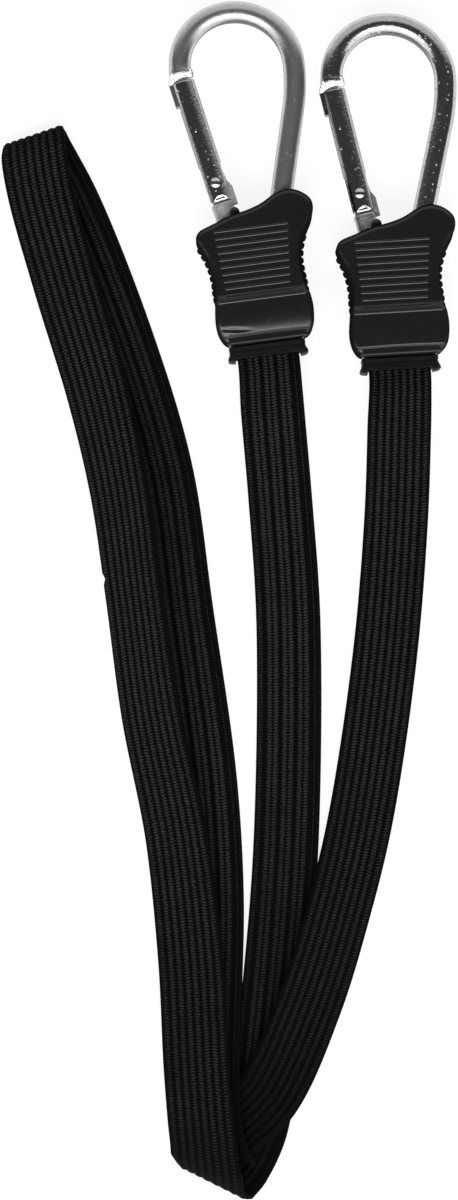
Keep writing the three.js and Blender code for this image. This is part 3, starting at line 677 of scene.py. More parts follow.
def woven_elastic():
    """Black woven elastic. Threads lie across each rib in short slanting beads, mirrored in the next rib.
    Loose fibres scatter them. The grooves between ribs are painted darkest, as shade, and the shade mark
    paints shade in the folds and on the lower legs."""
    material, start = blank("woven_elastic")
    uv = start.node("UVMap", {"uv_map": "along_across"})
    along = start.node("SeparateXYZ", None, {0: uv})
    across = along.other(1)
    rise = start.mark("rise")
    shade = start.mark("shade")
    fibres = noise(start, uv, 1.7, 4.0, 0.7)
    patches = noise(start, uv, 0.1, 2.0)
    from_pair = ((across / (2 * RIB_PITCH) + 0.5).math("FRACT") - 0.5).math("ABSOLUTE") * (2 * RIB_PITCH)
    bead = ((along / WEFT_PITCH + from_pair * 0.3 + fibres * 1.6) * math.pi).math("SINE").math("ABSOLUTE")
    # the rise term paints shade into the grooves; beads and fibres are the weave's own pattern
    threads_and_groove_shade = ((rise * 1.15 + bead + fibres * 0.8 - 1.72) * 1.55).clamp()
    # shade paints darkness in the folds and on the lower legs
    lit = threads_and_groove_shade * (fibres * 1.8 + 0.1) * (patches * 0.8 + 0.6) * shade
    surface(start, {
        "Base Color": lit.clamp().mix(grey(0.001), grey(0.043)),
        "Roughness": 0.75 + patches * 0.2,
        "Specular IOR Level": 0.1,
        "Normal": bump(start, bead * rise + fibres * 0.5, 0.8, 0.0003),
    })
    return material


def tumbled_metal(name, level, rough, pits, flank_shade=0.0, cast_at=None, crown_at=None, glint_specks=False):
    """Bright metal after tumbling: fine pits, raised flecks and soft cloudy wear. Shade is painted darker
    round the inside of the crown and along the flanks, up to a height in millimetres from the parting plane.
    It is dull round a place left as cast, and may have a row of pale painted glints."""
    material, start = blank(name)
    place = start.node("TexCoord", out=3)
    cloud = noise(start, place, 180.0, 4.0, 0.6)
    grain = noise(start, place, 1500.0, 3.0, 0.6)
    spots = cells(start, place, 900.0)
    pit = (1 - spots * 2.2).clamp() * (grain - 0.35).clamp() * pits
    drop = cells(start, place, 420.0)
    fleck = (1 - drop * 5.5).clamp() * pits
    dark = cloud * 0.35 + pit * 1.5
    dull = 0.0

    def near(point, full, none):
        """1 up to a distance in millimetres from a point, falling to 0 at another."""
        away = start.node("VectorMath", {"operation": "DISTANCE"}, {0: place, 1: point}, "Value")
        return ((none * MM - away) / ((none - full) * MM)).clamp()

    if cast_at is not None:
        dull = near(cast_at, *CAST_REACH)
    # Painted shade along the flanks, up to a height from the parting plane
    if flank_shade:
        height = start.node("SeparateXYZ", None, {0: place}, 2) - TABLE_TO_PARTING * MM
        low = (flank_shade * MM - height.math("ABSOLUTE")) / (0.65 * flank_shade * MM)
        dark = dark + low.clamp() * 0.9 * (1 - dull)
    # Painted shade round the inside edge of the crown
    if crown_at is not None:
        dark = dark + near(crown_at, CROWN_R - bar_r + 0.1, CROWN_R - bar_r + 0.6)
    color, metallic = dark.clamp().mix(grey(level), grey(level * 0.25, 0.01)), 1.0
    # Painted glints: a row of pale, non-metal dots on the bar
    if glint_specks:
        row = start.mark("glint_specks")
        glint = ((1 - spots * 3.4) * row * 3.0).clamp()
        color, metallic = glint.mix(color, grey(0.85)), 1 - glint
    surface(start, {
        "Base Color": color,
        "Metallic": metallic,
        "Roughness": rough + cloud * 0.08 + pit * 0.2 + dull * 0.2,
        "Normal": bump(start, grain * (0.35 + dull * 0.9) - pit * 1.6 + fleck, 0.4, 0.0002),
    })
    return material


def drawn_steel(name, level, rough):
    """Plain steel with fine drawing marks and a dull film in patches."""
    material, start = blank(name)
    place = start.node("TexCoord", out=3)
    stretched = start.node("Mapping", None, {"Vector": place, "Scale": (1.0, 0.08, 1.0)})
    marks = noise(start, stretched, 4000.0, 2.0)
    film = noise(start, place, 300.0, 3.0)
    surface(start, {
        "Base Color": film.mix(grey(level), grey(level * 0.6, 0.03)),
        "Metallic": 1.0,
        "Roughness": rough + marks * 0.18,
        "Normal": bump(start, marks, 0.08, 0.0001),
    })
    return material


def moulded_plastic(name, level, rough, gloss):
    """Black satin moulding: a fine eroded grain, cloudy gloss and a few scuffs. Its sides are dull."""
    material, start = blank(name)
    place = start.node("TexCoord", out=3)
    grain = noise(start, place, 2600.0, 3.0, 0.6)
    cloud = noise(start, place, 90.0, 4.0, 0.6)
    scuff = noise(start, place, 420.0, 5.0, 0.7)
    worn = ((scuff - 0.58) * 4.0).clamp()
    color = (cloud * 0.4 + worn * 0.5).clamp().mix(grey(level), grey(level * 2.6))
    sockets = {
        "Base Color": color,
        "Roughness": rough + cloud * 0.12 + worn * 0.1,
        "Specular IOR Level": gloss,
        "Normal": bump(start, grain, 0.04, 0.00015),
    }
    face = start.node("BsdfPrincipled", None, sockets)
    dull = start.node("BsdfPrincipled", None, {**sockets, "Specular IOR Level": 0.0})
    two_surfaces(start, start.mark("side"), face, dull)
    return material


# Camera

def make_camera():
    """Straight down over the cord, with the photograph's scale at the strap's height."""
    data = bpy.data.cameras.new("camera")
    data.sensor_fit = "VERTICAL"
    data.sensor_height = SENSOR
    data.lens = SENSOR * (CAMERA_HEIGHT - SCALE_HEIGHT) / (IMAGE_SIZE[1] * MM_PER_PIXEL)
    camera = put("camera", data)
    camera.location = (VIEW_CENTRE[0] * MM, VIEW_CENTRE[1] * MM, CAMERA_HEIGHT * MM)
    bpy.context.scene.camera = camera


# Strap

def strap_stations():
    """Places, turn and roll along the strap: its tail, the loop round the pin and the collar's mouth at one
    end, the route, and the same back into the other end."""
    around = np.radians(np.linspace(108, -108, 7))
    inside = np.array(
        [(crimp_start - TAIL_PAST, ply), (crimp_end, ply)]
        + list(zip(pin_y + loop_r * np.cos(around), loop_r * np.sin(around)))
        + [(y, -ply) for y in (crimp_end, flange_end, LIP_LENGTH, -LIP_LENGTH)]
    )
    flat = np.zeros(len(inside))
    local = np.column_stack([flat, inside])
    first, last = (
        np.column_stack([in_fitting(local, end), flat + FITTINGS[end][2], flat]) for end in FITTINGS
    )
    return np.vstack([first, ROUTE, last[::-1]])


def strap_section():
    """The strap's section: places across it, heights, how far each point stands out of the grooves, and
    which points are on the second face. The first face has three pairs of ribs with wide grooves between,
    and a selvedge, painted dark as shade, with threads along each side. The second has even ribs. A rib falls
    off with about the square of the way to its groove. How far a point stands out also paints shade into the
    weave's colour: the grooves, the selvedges and the strap's edges come out darker."""
    half = STRAP_THICK / 2
    side = np.array([0.15, 0.32, 0.55, PAIR_RIB, 1.25, 1.5, 1.7, 2.0])
    from_pair = np.concatenate([-side[::-1], [0], side])
    u = np.abs(from_pair)
    outer = PAIR_GROOVE * np.clip(u - PAIR_RIB, 0, 1) ** 2
    drop = np.where(u < PAIR_RIB, RIB_GROOVE * (1 - u / PAIR_RIB) ** 2, outer)
    paired = (2 * RIB_PITCH * np.arange(-1, 2)[:, None] + from_pair).ravel() + PAIR_SHIFT
    within = np.array([-1, -0.8, -0.5, 0, 0.5, 0.8])
    middles = RIB_PITCH * (np.arange(EVEN_RIBS) + 0.5 - EVEN_RIBS / 2)
    second = np.append((middles[:, None] + within * RIB_PITCH / 2).ravel(), EVEN_RIBS * RIB_PITCH / 2)
    second_drop = EVEN_GROOVE * np.append(np.tile(np.abs(within) ** 1.8, EVEN_RIBS), 1)
    selvedge = strap_half - np.array([0.4, 0.75, 1.1, 1.5, 1.85, 2.2])
    left_hem = np.array([0.3, 0.6, 0.7, 0.65, 0.2, 0.05])
    right_hem = np.array([0.1, 0.8, 0.3, 0.1, 0.5, 0.35])
    first = np.concatenate([-selvedge, paired, selvedge[::-1]])
    first_drop = np.concatenate([
        SELVEDGE_DROP - HEM_RISE * left_hem, np.tile(drop, 3), SELVEDGE_DROP - HEM_RISE * right_hem
    ])
    edge = np.radians([55, 20, -20, -55])
    bulge = strap_half - 0.5 + 0.5 * np.cos(edge)
    lift = 0.9 * np.sin(edge)
    x = np.concatenate([first, bulge, second[::-1], -bulge])
    z = np.concatenate([half - first_drop, lift, second_drop[::-1] - half, -lift])
    # rise also paints shade into the weave: low points and the strap's edges come out darker, the outer even
    # ribs a little darker
    pairs = np.tile(1 - drop / PAIR_GROOVE, 3)
    evens = (1 - second_drop / EVEN_GROOVE) * np.where(np.abs(second) > 3 * RIB_PITCH, 0.85, 1.0)
    rise = np.concatenate([left_hem, pairs, right_hem, np.full(4, 0.1), evens[::-1], np.full(4, 0.1)])
    number = np.arange(len(x))
    return x, z, rise, (number >= len(first) + 4) & (number < len(x) - 5)


def strap_places(points):
    """Places of the strap's sections along its curve, counted in stations from 0 to 1: closer together in
    the folds than in the straight legs."""
    place = np.linspace(0, 1, PATH_STEPS)
    fine = catmull(points, place, 0.5)
    run = arc_length(fine)
    ahead = unit(np.gradient(fine, run, axis=0))
    bend = np.linalg.norm(np.gradient(ahead, run, axis=0), axis=1)
    step = np.clip(BEND_STEP / np.maximum(bend, 0.01), *STRAP_STEPS)
    step = np.convolve(step, np.ones(STEP_EASE) / STEP_EASE, "same")
    counted = np.concatenate([[0], np.cumsum(np.diff(run) / step[1:])])
    return np.interp(np.linspace(0, counted[-1], int(counted[-1]) + 1), counted, place)


def make_strap():
    """The strap's section carried along the route's curve. Its width lies along the turned and rolled
    direction of each station, and its thickness is square to that and to the curve."""
    stations = strap_stations()
    at = strap_places(stations[:, :3])
    middle = catmull(stations[:, :3], at, 0.5)
    along = arc_length(middle)

    def way_to(place):
        """The way along the strap to its point nearest to a place."""
        return along[np.linalg.norm(middle - np.asarray(place), axis=1).argmin()]

    nudge = 1e-5
    ahead = unit(catmull(stations[:, :3], at + nudge, 0.5) - catmull(stations[:, :3], at - nudge, 0.5))
    turn, roll = np.radians(catmull(stations[:, 3:], at, 0.0)).T
    across = np.stack([np.cos(turn) * np.cos(roll), np.sin(turn) * np.cos(roll), np.sin(roll)], 1)
    normal = np.cross(ahead, across)
    widen = 1 / np.maximum(np.linalg.norm(normal, axis=1), 0.75)
    normal = unit(normal)
    mouths = {end: in_fitting(np.array([0, 0, -ply]), end) for end in FITTINGS}
    start, stop = (way_to(mouths[end]) for end in FITTINGS)
    free = np.minimum(along - start, stop - along)
    eased = sum(step_up(free, *stretch) for stretch in FREE_EASE) / len(FREE_EASE)
    widen = widen * (1 + FREE_SPREAD / strap_half * eased)
    x, z, rise, on_second = strap_section()
    nick = NICK_DEPTH * bell((along - way_to(NICK_AT)) / NICK_HALF)[:, None]
    nick = nick * np.clip((-x - NICK_FROM) / NICK_RAMP, 0, 1)
    offset = widen[:, None] * x + nick
    for *tip, left, right in FOLDS:
        away = np.abs(along - way_to(tip))[:, None]
        drawn = np.where(x < 0, left * np.exp(-away / left), -right * np.exp(-away / right))
        offset = offset + (x / strap_half) ** 2 * drawn
    rings = middle[:, None, :] + offset[..., None] * across[:, None, :]
    rings = rings + z[None, :, None] * normal[:, None, :]
    rows, sides = offset.shape
    i = np.arange(rows - 1)[:, None]
    j = np.arange(sides)[None, :]
    k = (j + 1) % sides
    corners = ((i, j), (i + 1, j), (i + 1, k), (i, k))
    quads = np.stack([a * sides + b for a, b in corners], -1)
    ends = np.array([np.arange(sides), ((rows - 1) * sides + np.arange(sides))[::-1]])
    face_shift = np.where(on_second, 20 * RIB_PITCH, -PAIR_SHIFT)
    uv = np.stack([
        np.stack(np.broadcast_arrays(along[a], x[b] + face_shift[j]), -1)
        for a, b in corners
    ], 2).reshape(-1, 2)
    end_uv = np.stack(np.broadcast_arrays(along[[0, -1]][:, None], x[None, :]), -1).reshape(-1, 2)
    faces = [quads.reshape(-1, 4), ends]
    strap = put_mesh("ribbed_strap", rings.reshape(-1, 3), faces, np.vstack([uv, end_uv]))
    # Painted shade along the strap, darkest at the folds and on the lower legs
    shade = np.ones(rows)
    for *place, reach, depth in SHADES:
        shade = shade * (1 - depth * bell((along - way_to(place)) / reach))
    mark_points(strap, "rise", np.tile(rise, rows))
    mark_points(strap, "shade", np.repeat(shade, sides))
    dress(strap, woven_elastic(), "cord", "elastic_strap", "elastic_strap", crease=180)
    mouths["a"] * MM
    middle * MM


# Covers

def cover_sides(y):
    """The covers' left and right edges at heights y, and their outline. That is a closed curve through
    points, the lower ones set from the pad and the upper ones from the hook's base. It is read on each side
    of its top."""
    shift = 0.3
    rise = ledge_y - cover_end

    def low(from_edge, up, side):
        """A point set in from the pad's side, and up from the covers' end."""
        return side * (pad_half - from_edge) + shift, cover_end + up

    def waist(share):
        """A height between the ledge and the hook's base."""
        return rise + share * (base[1] - ledge_y)

    upper = [
        (-14.1, -4.8), (-15.8, -1), (-16.8, 1.5), (-15.8, 3.6), (-11.5, 5.4), (-5.5, 7.5), (-2, 8.1),
        (2.5, 9.5), (7.5, 12.1), (11, 12.7), (14.5, 11.5), (17.1, 8.8), (17.1, 5.3), (14.5, 1), (12.7, -2.8),
    ]
    points = np.array([
        low(4.2, 0, -1), low(2, 0.9, -1), low(0.6, 3.5, -1), low(0.1, 7.3, -1), low(0.6, waist(0), -1),
        low(1.3, waist(0.4), -1), *(base + p for p in upper),
        low(2.1, waist(0.55), 1), low(1.4, waist(0.2), 1), low(0.2, waist(-0.1), 1), low(0, 7.1, 1),
        low(0.6, 3.1, 1), low(2, 0.8, 1), low(4.2, 0, 1),
    ])
    curve = catmull(points, np.linspace(0, 1, 3000), 0.5, closed=True)
    top = curve[:, 1].argmax()
    up, down = curve[: top + 1], curve[top:][::-1]
    left, right = (np.interp(y, side[:, 1], side[:, 0]) for side in (up, down))
    return left, right, curve


def cover_rows():
    """Heights y of the covers' rows, at even steps in each span. They are closest at the crease, then over
    the grip and at both ends, and a whole number of rows goes to a ridge."""
    rim, crease, pad, grip = cover_end + 0.45, cover_end + 1.8, cover_end + 3.4, base[1] + 4.2
    top, cap = base[1] + COVER_TOP, 1.2
    spans = [
        (rim, crease, 0.15), (crease, pad, 0.075), (pad, ledge_y - 0.6, 0.15),
        (ledge_y + RIDGE_FIRST - RIDGE_PITCH, grip, RIDGE_PITCH / 20), (grip, top - cap, 0.2),
    ]
    ends = [cover_end + np.array([0, 0.12, 0.3]), top - cap * np.linspace(1, 0.02, 14) ** 1.6]
    return np.unique(np.concatenate(ends + [np.arange(*span) for span in spans]))


def edge_distance(x, y, outline):
    """Distance from points to the outline, by its nearest point, a block of rows at a time."""
    blocks = [
        np.sqrt(((np.stack([bx, by], -1)[:, :, None, :] - outline) ** 2).sum(-1).min(-1))
        for bx, by in zip(np.array_split(x, 40), np.array_split(y, 40))
    ]
    return np.vstack(blocks)


def cover_height(x, y, rounded, end):
    """Height of a cover's face: the grip with its ridges, and the pad, which ends in a raised line at the
    grip. Towards the strap the pad bends down by a power of the way to a bowed crease, rolls over there to a
    lower part, and ends in a beaded rim. Towards the outline the face rounds off in a quarter ellipse."""
    up = y - cover_end
    crease = CREASE_UP - CREASE_BOW * (x / pad_half) ** 2
    fall = PAD_FALL[end]
    bent = PAD_HALF - fall * np.clip((PAD_FLAT - up) / (PAD_FLAT - crease), 0, 1.5) ** PAD_BEND
    bent = bent - ROLL_DROP[end] * np.clip((crease + ROLL[end] - up) / ROLL[end], 0, 1.3) ** 2
    lower = PAD_HALF - fall - ROLL_DROP[end] - LOW_PAD - LOW_SLOPE * (crease - up)
    rim = half_round((up - RIM_UP) / RIM_HALF)
    lower = lower + RIM_HEIGHT * rim - RIM_FALL * np.clip(1 - up / RIM_UP, 0, 1) ** 2
    pad = lower + (bent - lower) * step_up(up, crease - CREASE_STEP, crease)
    below, half, rise = PAD_LINE
    pad = pad + rise * bell((y - ledge_y + below) / half)
    for dent_x, dent_up, wide, high, depth in DENTS[end]:
        slant = up - dent_up + DENT_SLANT * (x - dent_x)
        pad = pad - depth * bell((x - dent_x) / wide) * bell(slant / high)
    over = sum(share * step_up(y, ledge_y + low, ledge_y + high) for share, low, high in LEDGE_STEPS)
    height = pad + (GRIP_HALF - pad) * over
    for i, span in enumerate(np.linspace(*RIDGE_SPAN, RIDGES)):
        from_ridge = np.abs(y - (ledge_y + RIDGE_FIRST + RIDGE_PITCH * i)) / RIDGE_HALF
        from_end = (span / 2 - np.abs(x - RIDGE_SHIFT)) / RIDGE_HALF
        out = np.hypot(from_ridge, np.clip(1 - from_end, 0, None))
        height = height + RIDGE_HEIGHT * half_round(out)
    return height - EDGE_DROP * (1 - half_round(rounded))


def side_teeth(y):
    """How far the grip's teeth stand out of the waist at heights y: half-round beads a pitch apart, the
    lowest smaller, with notches between them."""
    first = base[1] - TOOTH_DROP
    n = np.clip(np.round((y - first) / TOOTH_PITCH), 0, TEETH - 1)
    out = np.abs(y - first - n * TOOTH_PITCH) / TOOTH_HALF_PITCH
    beads = TOOTH_OUT * half_round(out) - NOTCH_IN * ((out > 1) & (out < 1.3))
    return np.where(n < SMALL_TEETH, SMALL_TOOTH, 1.0) * beads


def cover_rings(end):
    """The front cover as rows of closed loops up the fitting, and how much each point belongs to its sides.
    Each loop climbs the left wall, crosses the face from edge to edge and comes down the right wall to the
    parting plane. The walls spread towards that plane at the waist, where they carry the teeth."""
    y = cover_rows()
    left, right, outline = cover_sides(y)
    ease = np.sin(np.linspace(-1, 1, FACE_COLUMNS) * math.pi / 2) * 0.5 + 0.5
    across = (1 - COLUMN_EASE) * np.linspace(0, 1, FACE_COLUMNS) + COLUMN_EASE * ease
    x = left[:, None] + (right - left)[:, None] * across
    yy = np.repeat(y[:, None], len(across), 1)
    inside = edge_distance(x, yy, outline[outline[:, 1] > cover_end + STRAIGHT_END][::3])
    rounded = np.clip(1 - inside / EDGE_IN, 0, 1)
    face = cover_height(x, yy, rounded, end)
    half = PARTING / 2
    up = np.array(WALL_ROWS)
    waist = step_up(y - base[1], *WAIST_START)
    walls = []
    for column, side, stop in ((0, -1, WAIST_END[0]), (-1, 1, WAIST_END[1])):
        spread = WAIST_DRAFT * waist * (1 - step_up(y - base[1], *stop))
        z = half + (face[:, [column]] - half) * up
        out = spread[:, None] * (1 - up) + side_teeth(y)[:, None] * (z < TOOTH_TOP)
        walls.append((x[:, [column]] + side * out, z))
    (left_x, left_z), (right_x, right_z) = walls
    xs = np.concatenate([left_x, x, right_x[:, ::-1]], 1)
    zs = np.concatenate([left_z, face, right_z[:, ::-1]], 1)
    wall = np.ones(left_z.shape)
    sides = np.concatenate([wall, step_up(rounded, 0.4, 0.8), wall], 1)
    return np.stack([xs, np.repeat(y[:, None], xs.shape[1], 1), zs], -1), sides


def cover_hollows():
    """What the covers are hollowed for: the hook, the collar's spigot and flange, the crimp, the strap's
    loop and the pin."""
    spigot = (slot_half + SPIGOT_SIDE + FIT, SPIGOT_HALF + FIT)
    flange = (spigot[0] + FLANGE_OUT, spigot[1] + FLANGE_OUT)
    crimp = (chamber_half, crimp_half[1] + FIT)
    boxes = [
        (spigot, 0, flange_start), (flange, flange_start - FIT, flange_end + FIT), (crimp, flange_end, pin_y)
    ]
    hollows = [box_rings((-x, y0, -z), (x, y1, z)) for (x, z), y0, y1 in boxes]
    hollows.append(sweep_rings(hook_line(0.8), bar_r + FIT * 0.5, 36))
    reach = strap_half + FIT
    loop = loop_r + STRAP_THICK / 2 + FIT
    pin = chamber_half + PIN_SEAT + FIT
    for radius, half in ((loop, reach), (PIN_D / 2 + FIT, pin)):
        hollows.append(post_rings(radius, -half, half, 40, "x") + (0, pin_y, 0))
    return hollows


def nub_rings():
    """The nub beside the hook's stub: a short post with a domed top."""
    top = GRIP_HALF * 0.62
    shares = [(1, -top), (1, -0.7), (0.9, -0.25), (0.6, 0), (0.02 / NUB_R, 0.08)]
    profile = [(NUB_R * share, top + up) for share, up in shares]
    return lathe_rings(profile, 24, "z") + (base[0] + NUB_AT[0], base[1] + NUB_AT[1], PARTING / 2)


def make_covers(end, finish):
    """A fitting's front cover, and its mirror in the parting plane: a closed skin over the cover's rows, with
    the nub joined on and the hollows cut out."""
    rings, sides = cover_rings(end)
    for name, face in (("front_cover", 1), ("rear_cover", -1)):
        flip = (1, 1, face)
        cover = loft(f"{name}_shell_{end}", in_fitting(rings * flip, end))
        mark_points(cover, "side", np.append(sides.ravel(), (1, 1)))
        shape_with(cover, [loft("nub", in_fitting(nub_rings() * flip, end))], "UNION")
        hollows = [loft("hollow", in_fitting(hollow * flip, end)) for hollow in cover_hollows()]
        shape_with(cover, hollows, "DIFFERENCE")
        dress(cover, finish, "cord", "cover_plastic", f"{name}_{end}", crease=48)


# Collar

def collar_rings():
    """The collar as rounded rectangles along y: the lip, which flares out of the neck, the neck with a fine
    groove round it, the spigot and the flange."""
    neck = (slot_half + NECK_SIDE, NECK_HALF)
    spigot = (slot_half + SPIGOT_SIDE, SPIGOT_HALF)
    top = LIP_LENGTH + NECK_LENGTH
    lip = LIP_OUT * np.array([-1.2, -0.3, 0.4, 0.9, 1, 0.8, 0.4])
    stations = [(y, neck, out) for y, out in zip((0, 0.12, 0.3, 0.55, 0.9, 1.4, 1.9), lip)]
    stations += [(y, neck, out) for y, out in (
        (2.4, 0.02), (2.75, 0), (2.85, -0.2), (3.05, -0.2), (3.15, 0), (top - 0.2, 0), (top, -0.2)
    )]
    stations += [(y, spigot, out) for y, out in (
        (top + 0.02, 0), (flange_start, 0), (flange_start + 0.02, FLANGE_OUT - 0.1),
        (flange_start + 0.15, FLANGE_OUT), (flange_end - 0.15, FLANGE_OUT), (flange_end, FLANGE_OUT - 0.15),
    )]
    return np.array([
        rounded_ring(y, -x - out, x + out, -z - out, z + out, COLLAR_ROUND) for y, (x, z), out in stations
    ])


def make_collar(end, finish):
    """The collar with the strap's slot through it and the scallop between the lip's ears."""
    collar = loft(f"strap_collar_{end}", in_fitting(collar_rings(), end))
    thick = STRAP_THICK / 2 + FIT
    wide, bend = slot_half + 0.2, 0.8
    corner = arc((wide - bend, LIP_SCALLOP - bend), bend, 0, math.pi / 2, 6)
    scallop = np.vstack([[(-wide, -LIP_LENGTH), (wide, -LIP_LENGTH)], corner, corner[::-1] * (-1, 1)])
    cuts = [
        box_rings((-slot_half, -LIP_LENGTH, -ply - thick), (slot_half, pin_y, -ply + thick)),
        slab_rings(scallop, -3 * NECK_HALF, 3 * NECK_HALF),
    ]
    shape_with(collar, [loft("cut", in_fitting(c, end)) for c in cuts], "DIFFERENCE")
    dress(collar, finish, "cord", "collar_plastic", f"mouth_collar_{end}")


# Hook

def bar_rings():
    """The hook's round bar along its line, a little flared at the nose and chamfered at its end."""
    line = hook_line(BAR_STEP)
    run = arc_length(line)
    radius = bar_r + NOSE_FLARE * bell(run / FLARE_REACH)
    radius = radius - NOSE_CHAMFER * np.clip(1 - run / NOSE_CHAMFER, 0, 1)
    return sweep_rings(line, radius, BAR_SIDES)


def tongue_rings():
    """The nose's tongue, down the gate: spread as wide as the bar at its root, where its faces slope in
    from the nose to the gate's end, then a flat blade in the gate's slot. Rows are a place along the gate,
    the two sides and half the thickness."""
    over = gate_top + 2 * FIT
    foot = GATE_REACH - TONGUE_LENGTH
    blade = TONGUE_THICK / 2
    stations = np.array([
        (TONGUE_ROOT, -1.9, 2.5, 2.35), (33.9, -2.4, 3.2, 2.3), (33.5, -2.75, 3.4, 2.16),
        (32.8, -3.2, 3.55, 1.9), (31.8, -3.75, 3.6, 1.52), (over, -TONGUE_OUT, gate_r, 1.24),
        (over - 0.03, -TONGUE_OUT, TONGUE_IN, 1.23),
        (gate_top + 0.05, -TONGUE_OUT, TONGUE_IN, blade), (foot + 0.4, -TONGUE_OUT, TONGUE_IN, blade),
        (foot, -TONGUE_OUT + 0.3, TONGUE_IN - 0.3, blade - 0.3),
    ])
    y = np.concatenate([np.linspace(TONGUE_ROOT, over, 30), stations[6:, 0]])
    left, right, half = (np.interp(-y, -stations[:, 0], stations[:, k]) for k in (1, 2, 3))
    return np.array([
        rounded_ring(at, x0, x1, -z, z, min(TONGUE_ROUND, z * 0.6), 5)
        for at, x0, x1, z in zip(y, left, right, half)
    ])


def lug_outline():
    """The hinge lug's outline: up its outer side, over the cam, which climbs with the opening angle, and
    down the heel."""
    foot = -shoulder_drop - SHOULDER_LENGTH + FIT
    back = arc((0, 0), CAM_R, CAM_BACK, math.pi / 2, 10)
    opening = np.linspace(0, GATE_OPEN, 16)[1:]
    cam = (CAM_R + CAM_LIFT * opening)[:, None] * np.stack([np.sin(opening), np.cos(opening)], 1)
    heel = [(HEEL_IN - 0.2, HEEL_TOP), (HEEL_IN, HEEL_TOP - 0.5), (HEEL_IN, foot)]
    sides = [(gate_r, 0), *heel, (-LUG_OUT, foot)]
    return np.vstack([back, cam, sides])


def shoulder_rings():
    """The round shoulder under the lug, with soft edges."""
    r, top, low = SHOULDER_D / 2, -shoulder_drop, -shoulder_drop - SHOULDER_LENGTH
    profile = [
        (POLE_R, top), (r - 0.5, top), (r - 0.15, top - 0.15), (r, top - 0.5),
        (r, low + 0.4), (r - 0.3, low), (POLE_R, low),
    ]
    return lathe_rings(profile, 48)


def make_hook(end, finish):
    """The hook: its bar, with the tongue, shoulder and lug joined on and the rivet's hole cut through. The
    mark for the painted glints falls off as a bell curve to each side of their row."""
    rings = bar_rings()
    hook = loft(f"teardrop_hook_{end}", in_fitting(rings, end))
    around = full_turn(BAR_SIDES)
    out, width = GLINT_LINE
    row = bell((np.cos(around) - out) / width) * (np.sin(around) > 0)
    mark_points(hook, "glint_specks", np.append(np.tile(row, len(rings)), (0, 0)))
    lug = slab_rings(lug_outline(), -LUG_THICK / 2, LUG_THICK / 2, 0.2)
    joined = [tongue_rings(), shoulder_rings(), lug]
    shape_with(hook, [gate_loft("part", r, end) for r in joined], "UNION")
    hole = post_rings(RIVET_D / 2 + FIT, -LUG_THICK, LUG_THICK, 32, "z")
    shape_with(hook, [gate_loft("hole", hole, end)], "DIFFERENCE")
    dress(hook, finish, "cord", "hook_metal", f"hook_bar_{end}", crease=14)


# Gate

def gate_cuts():
    """What is cut from the gate: a sloping flat across the tail's end and a slit in it, front and back, the
    slots for the lug and the tongue, the spring's bore, the rivet's hole and the flats under its heads."""
    far = 2 * GATE_D
    tongue_foot = GATE_REACH - TONGUE_LENGTH - 4 * FIT
    blade = TONGUE_THICK / 2 + FIT
    facet = box_rings((-far, -far, 0), (far, far, far))
    facet[..., 2] += gate_r + FACET_SLOPE * (facet[..., 1] + TAIL_FACET)
    left, right, near, away = FACET_SLIT
    slit = box_rings((left, -away, slot_z + FIT), (right, -near, far))
    hole = RIVET_D / 2 + FIT
    spot = RIVET_HEAD_D / 2 + FIT
    flat = gate_r - SPOT_FACE
    return [
        facet, facet * (1, 1, -1), slit, slit * (1, 1, -1),
        box_rings((-far, -far, -slot_z), (far, slot_top, slot_z)),
        box_rings((-far, tongue_foot, -blade), (TONGUE_IN + FIT, far * 4, blade)),
        post_rings(bore_r, slot_top - FIT, bore_end, 32),
        post_rings(hole, -far, far, 32, "z"),
        post_rings(spot, flat, far, 40, "z"),
        post_rings(spot, -far, -flat, 40, "z"),
    ]


def gate_rings():
    """The gate's round rod, with a soft edge at its top."""
    edge = arc((gate_r - GATE_EDGE, gate_top - GATE_EDGE), GATE_EDGE, math.pi / 2, 0, 6)
    run = np.linspace(gate_top - 2 * GATE_EDGE, -2 * GATE_TAIL, 60)
    side = np.stack([np.full(60, gate_r), run], 1)
    return lathe_rings(np.vstack([[(POLE_R, gate_top)], edge, side]), 64)


def tail_rings():
    """The outline that the gate keeps: straight sides, and a tail round about the pivot."""
    tail = arc((0, 0), TAIL_ROUND, math.pi, 2 * math.pi, 40)
    top = [(TAIL_ROUND, 2 * gate_top), (-TAIL_ROUND, 2 * gate_top)]
    return slab_rings(np.vstack([tail, top]), -GATE_D, GATE_D)


def make_gate(end, finish):
    """The gate: what lies in both its rod and its outline, less its cuts."""
    gate = gate_loft(f"spring_gate_{end}", gate_rings(), end)
    shape_with(gate, [gate_loft("kept", tail_rings(), end)], "INTERSECT")
    shape_with(gate, [gate_loft("cut", c, end) for c in gate_cuts()], "DIFFERENCE")
    dress(gate, finish, f"hook_gate_{end}", "gate_metal", f"gate_{end}", crease=32)


def make_rivet(end, finish):
    """The rivet: a shank and two heads, each a low dome."""
    seat = gate_r - SPOT_FACE + FIT
    head = RIVET_HEAD_D / 2
    slope = np.radians(np.linspace(0.5, 44, 14))
    dome = head / math.sin(slope[-1])
    half = [(dome * math.sin(a), RIVET_HEAD + dome * (math.cos(a) - 1)) for a in slope]
    half += [(head, 0.05), (head - 0.05, 0), (RIVET_D / 2, 0)]
    up = [(r, seat + z) for r, z in half]
    profile = up + [(r, -z) for r, z in up[::-1]]
    rivet = gate_loft(f"hinge_rivet_{end}", lathe_rings(profile, 48, "z"), end)
    dress(rivet, finish, "cord", "rivet_steel", f"gate_rivet_{end}")


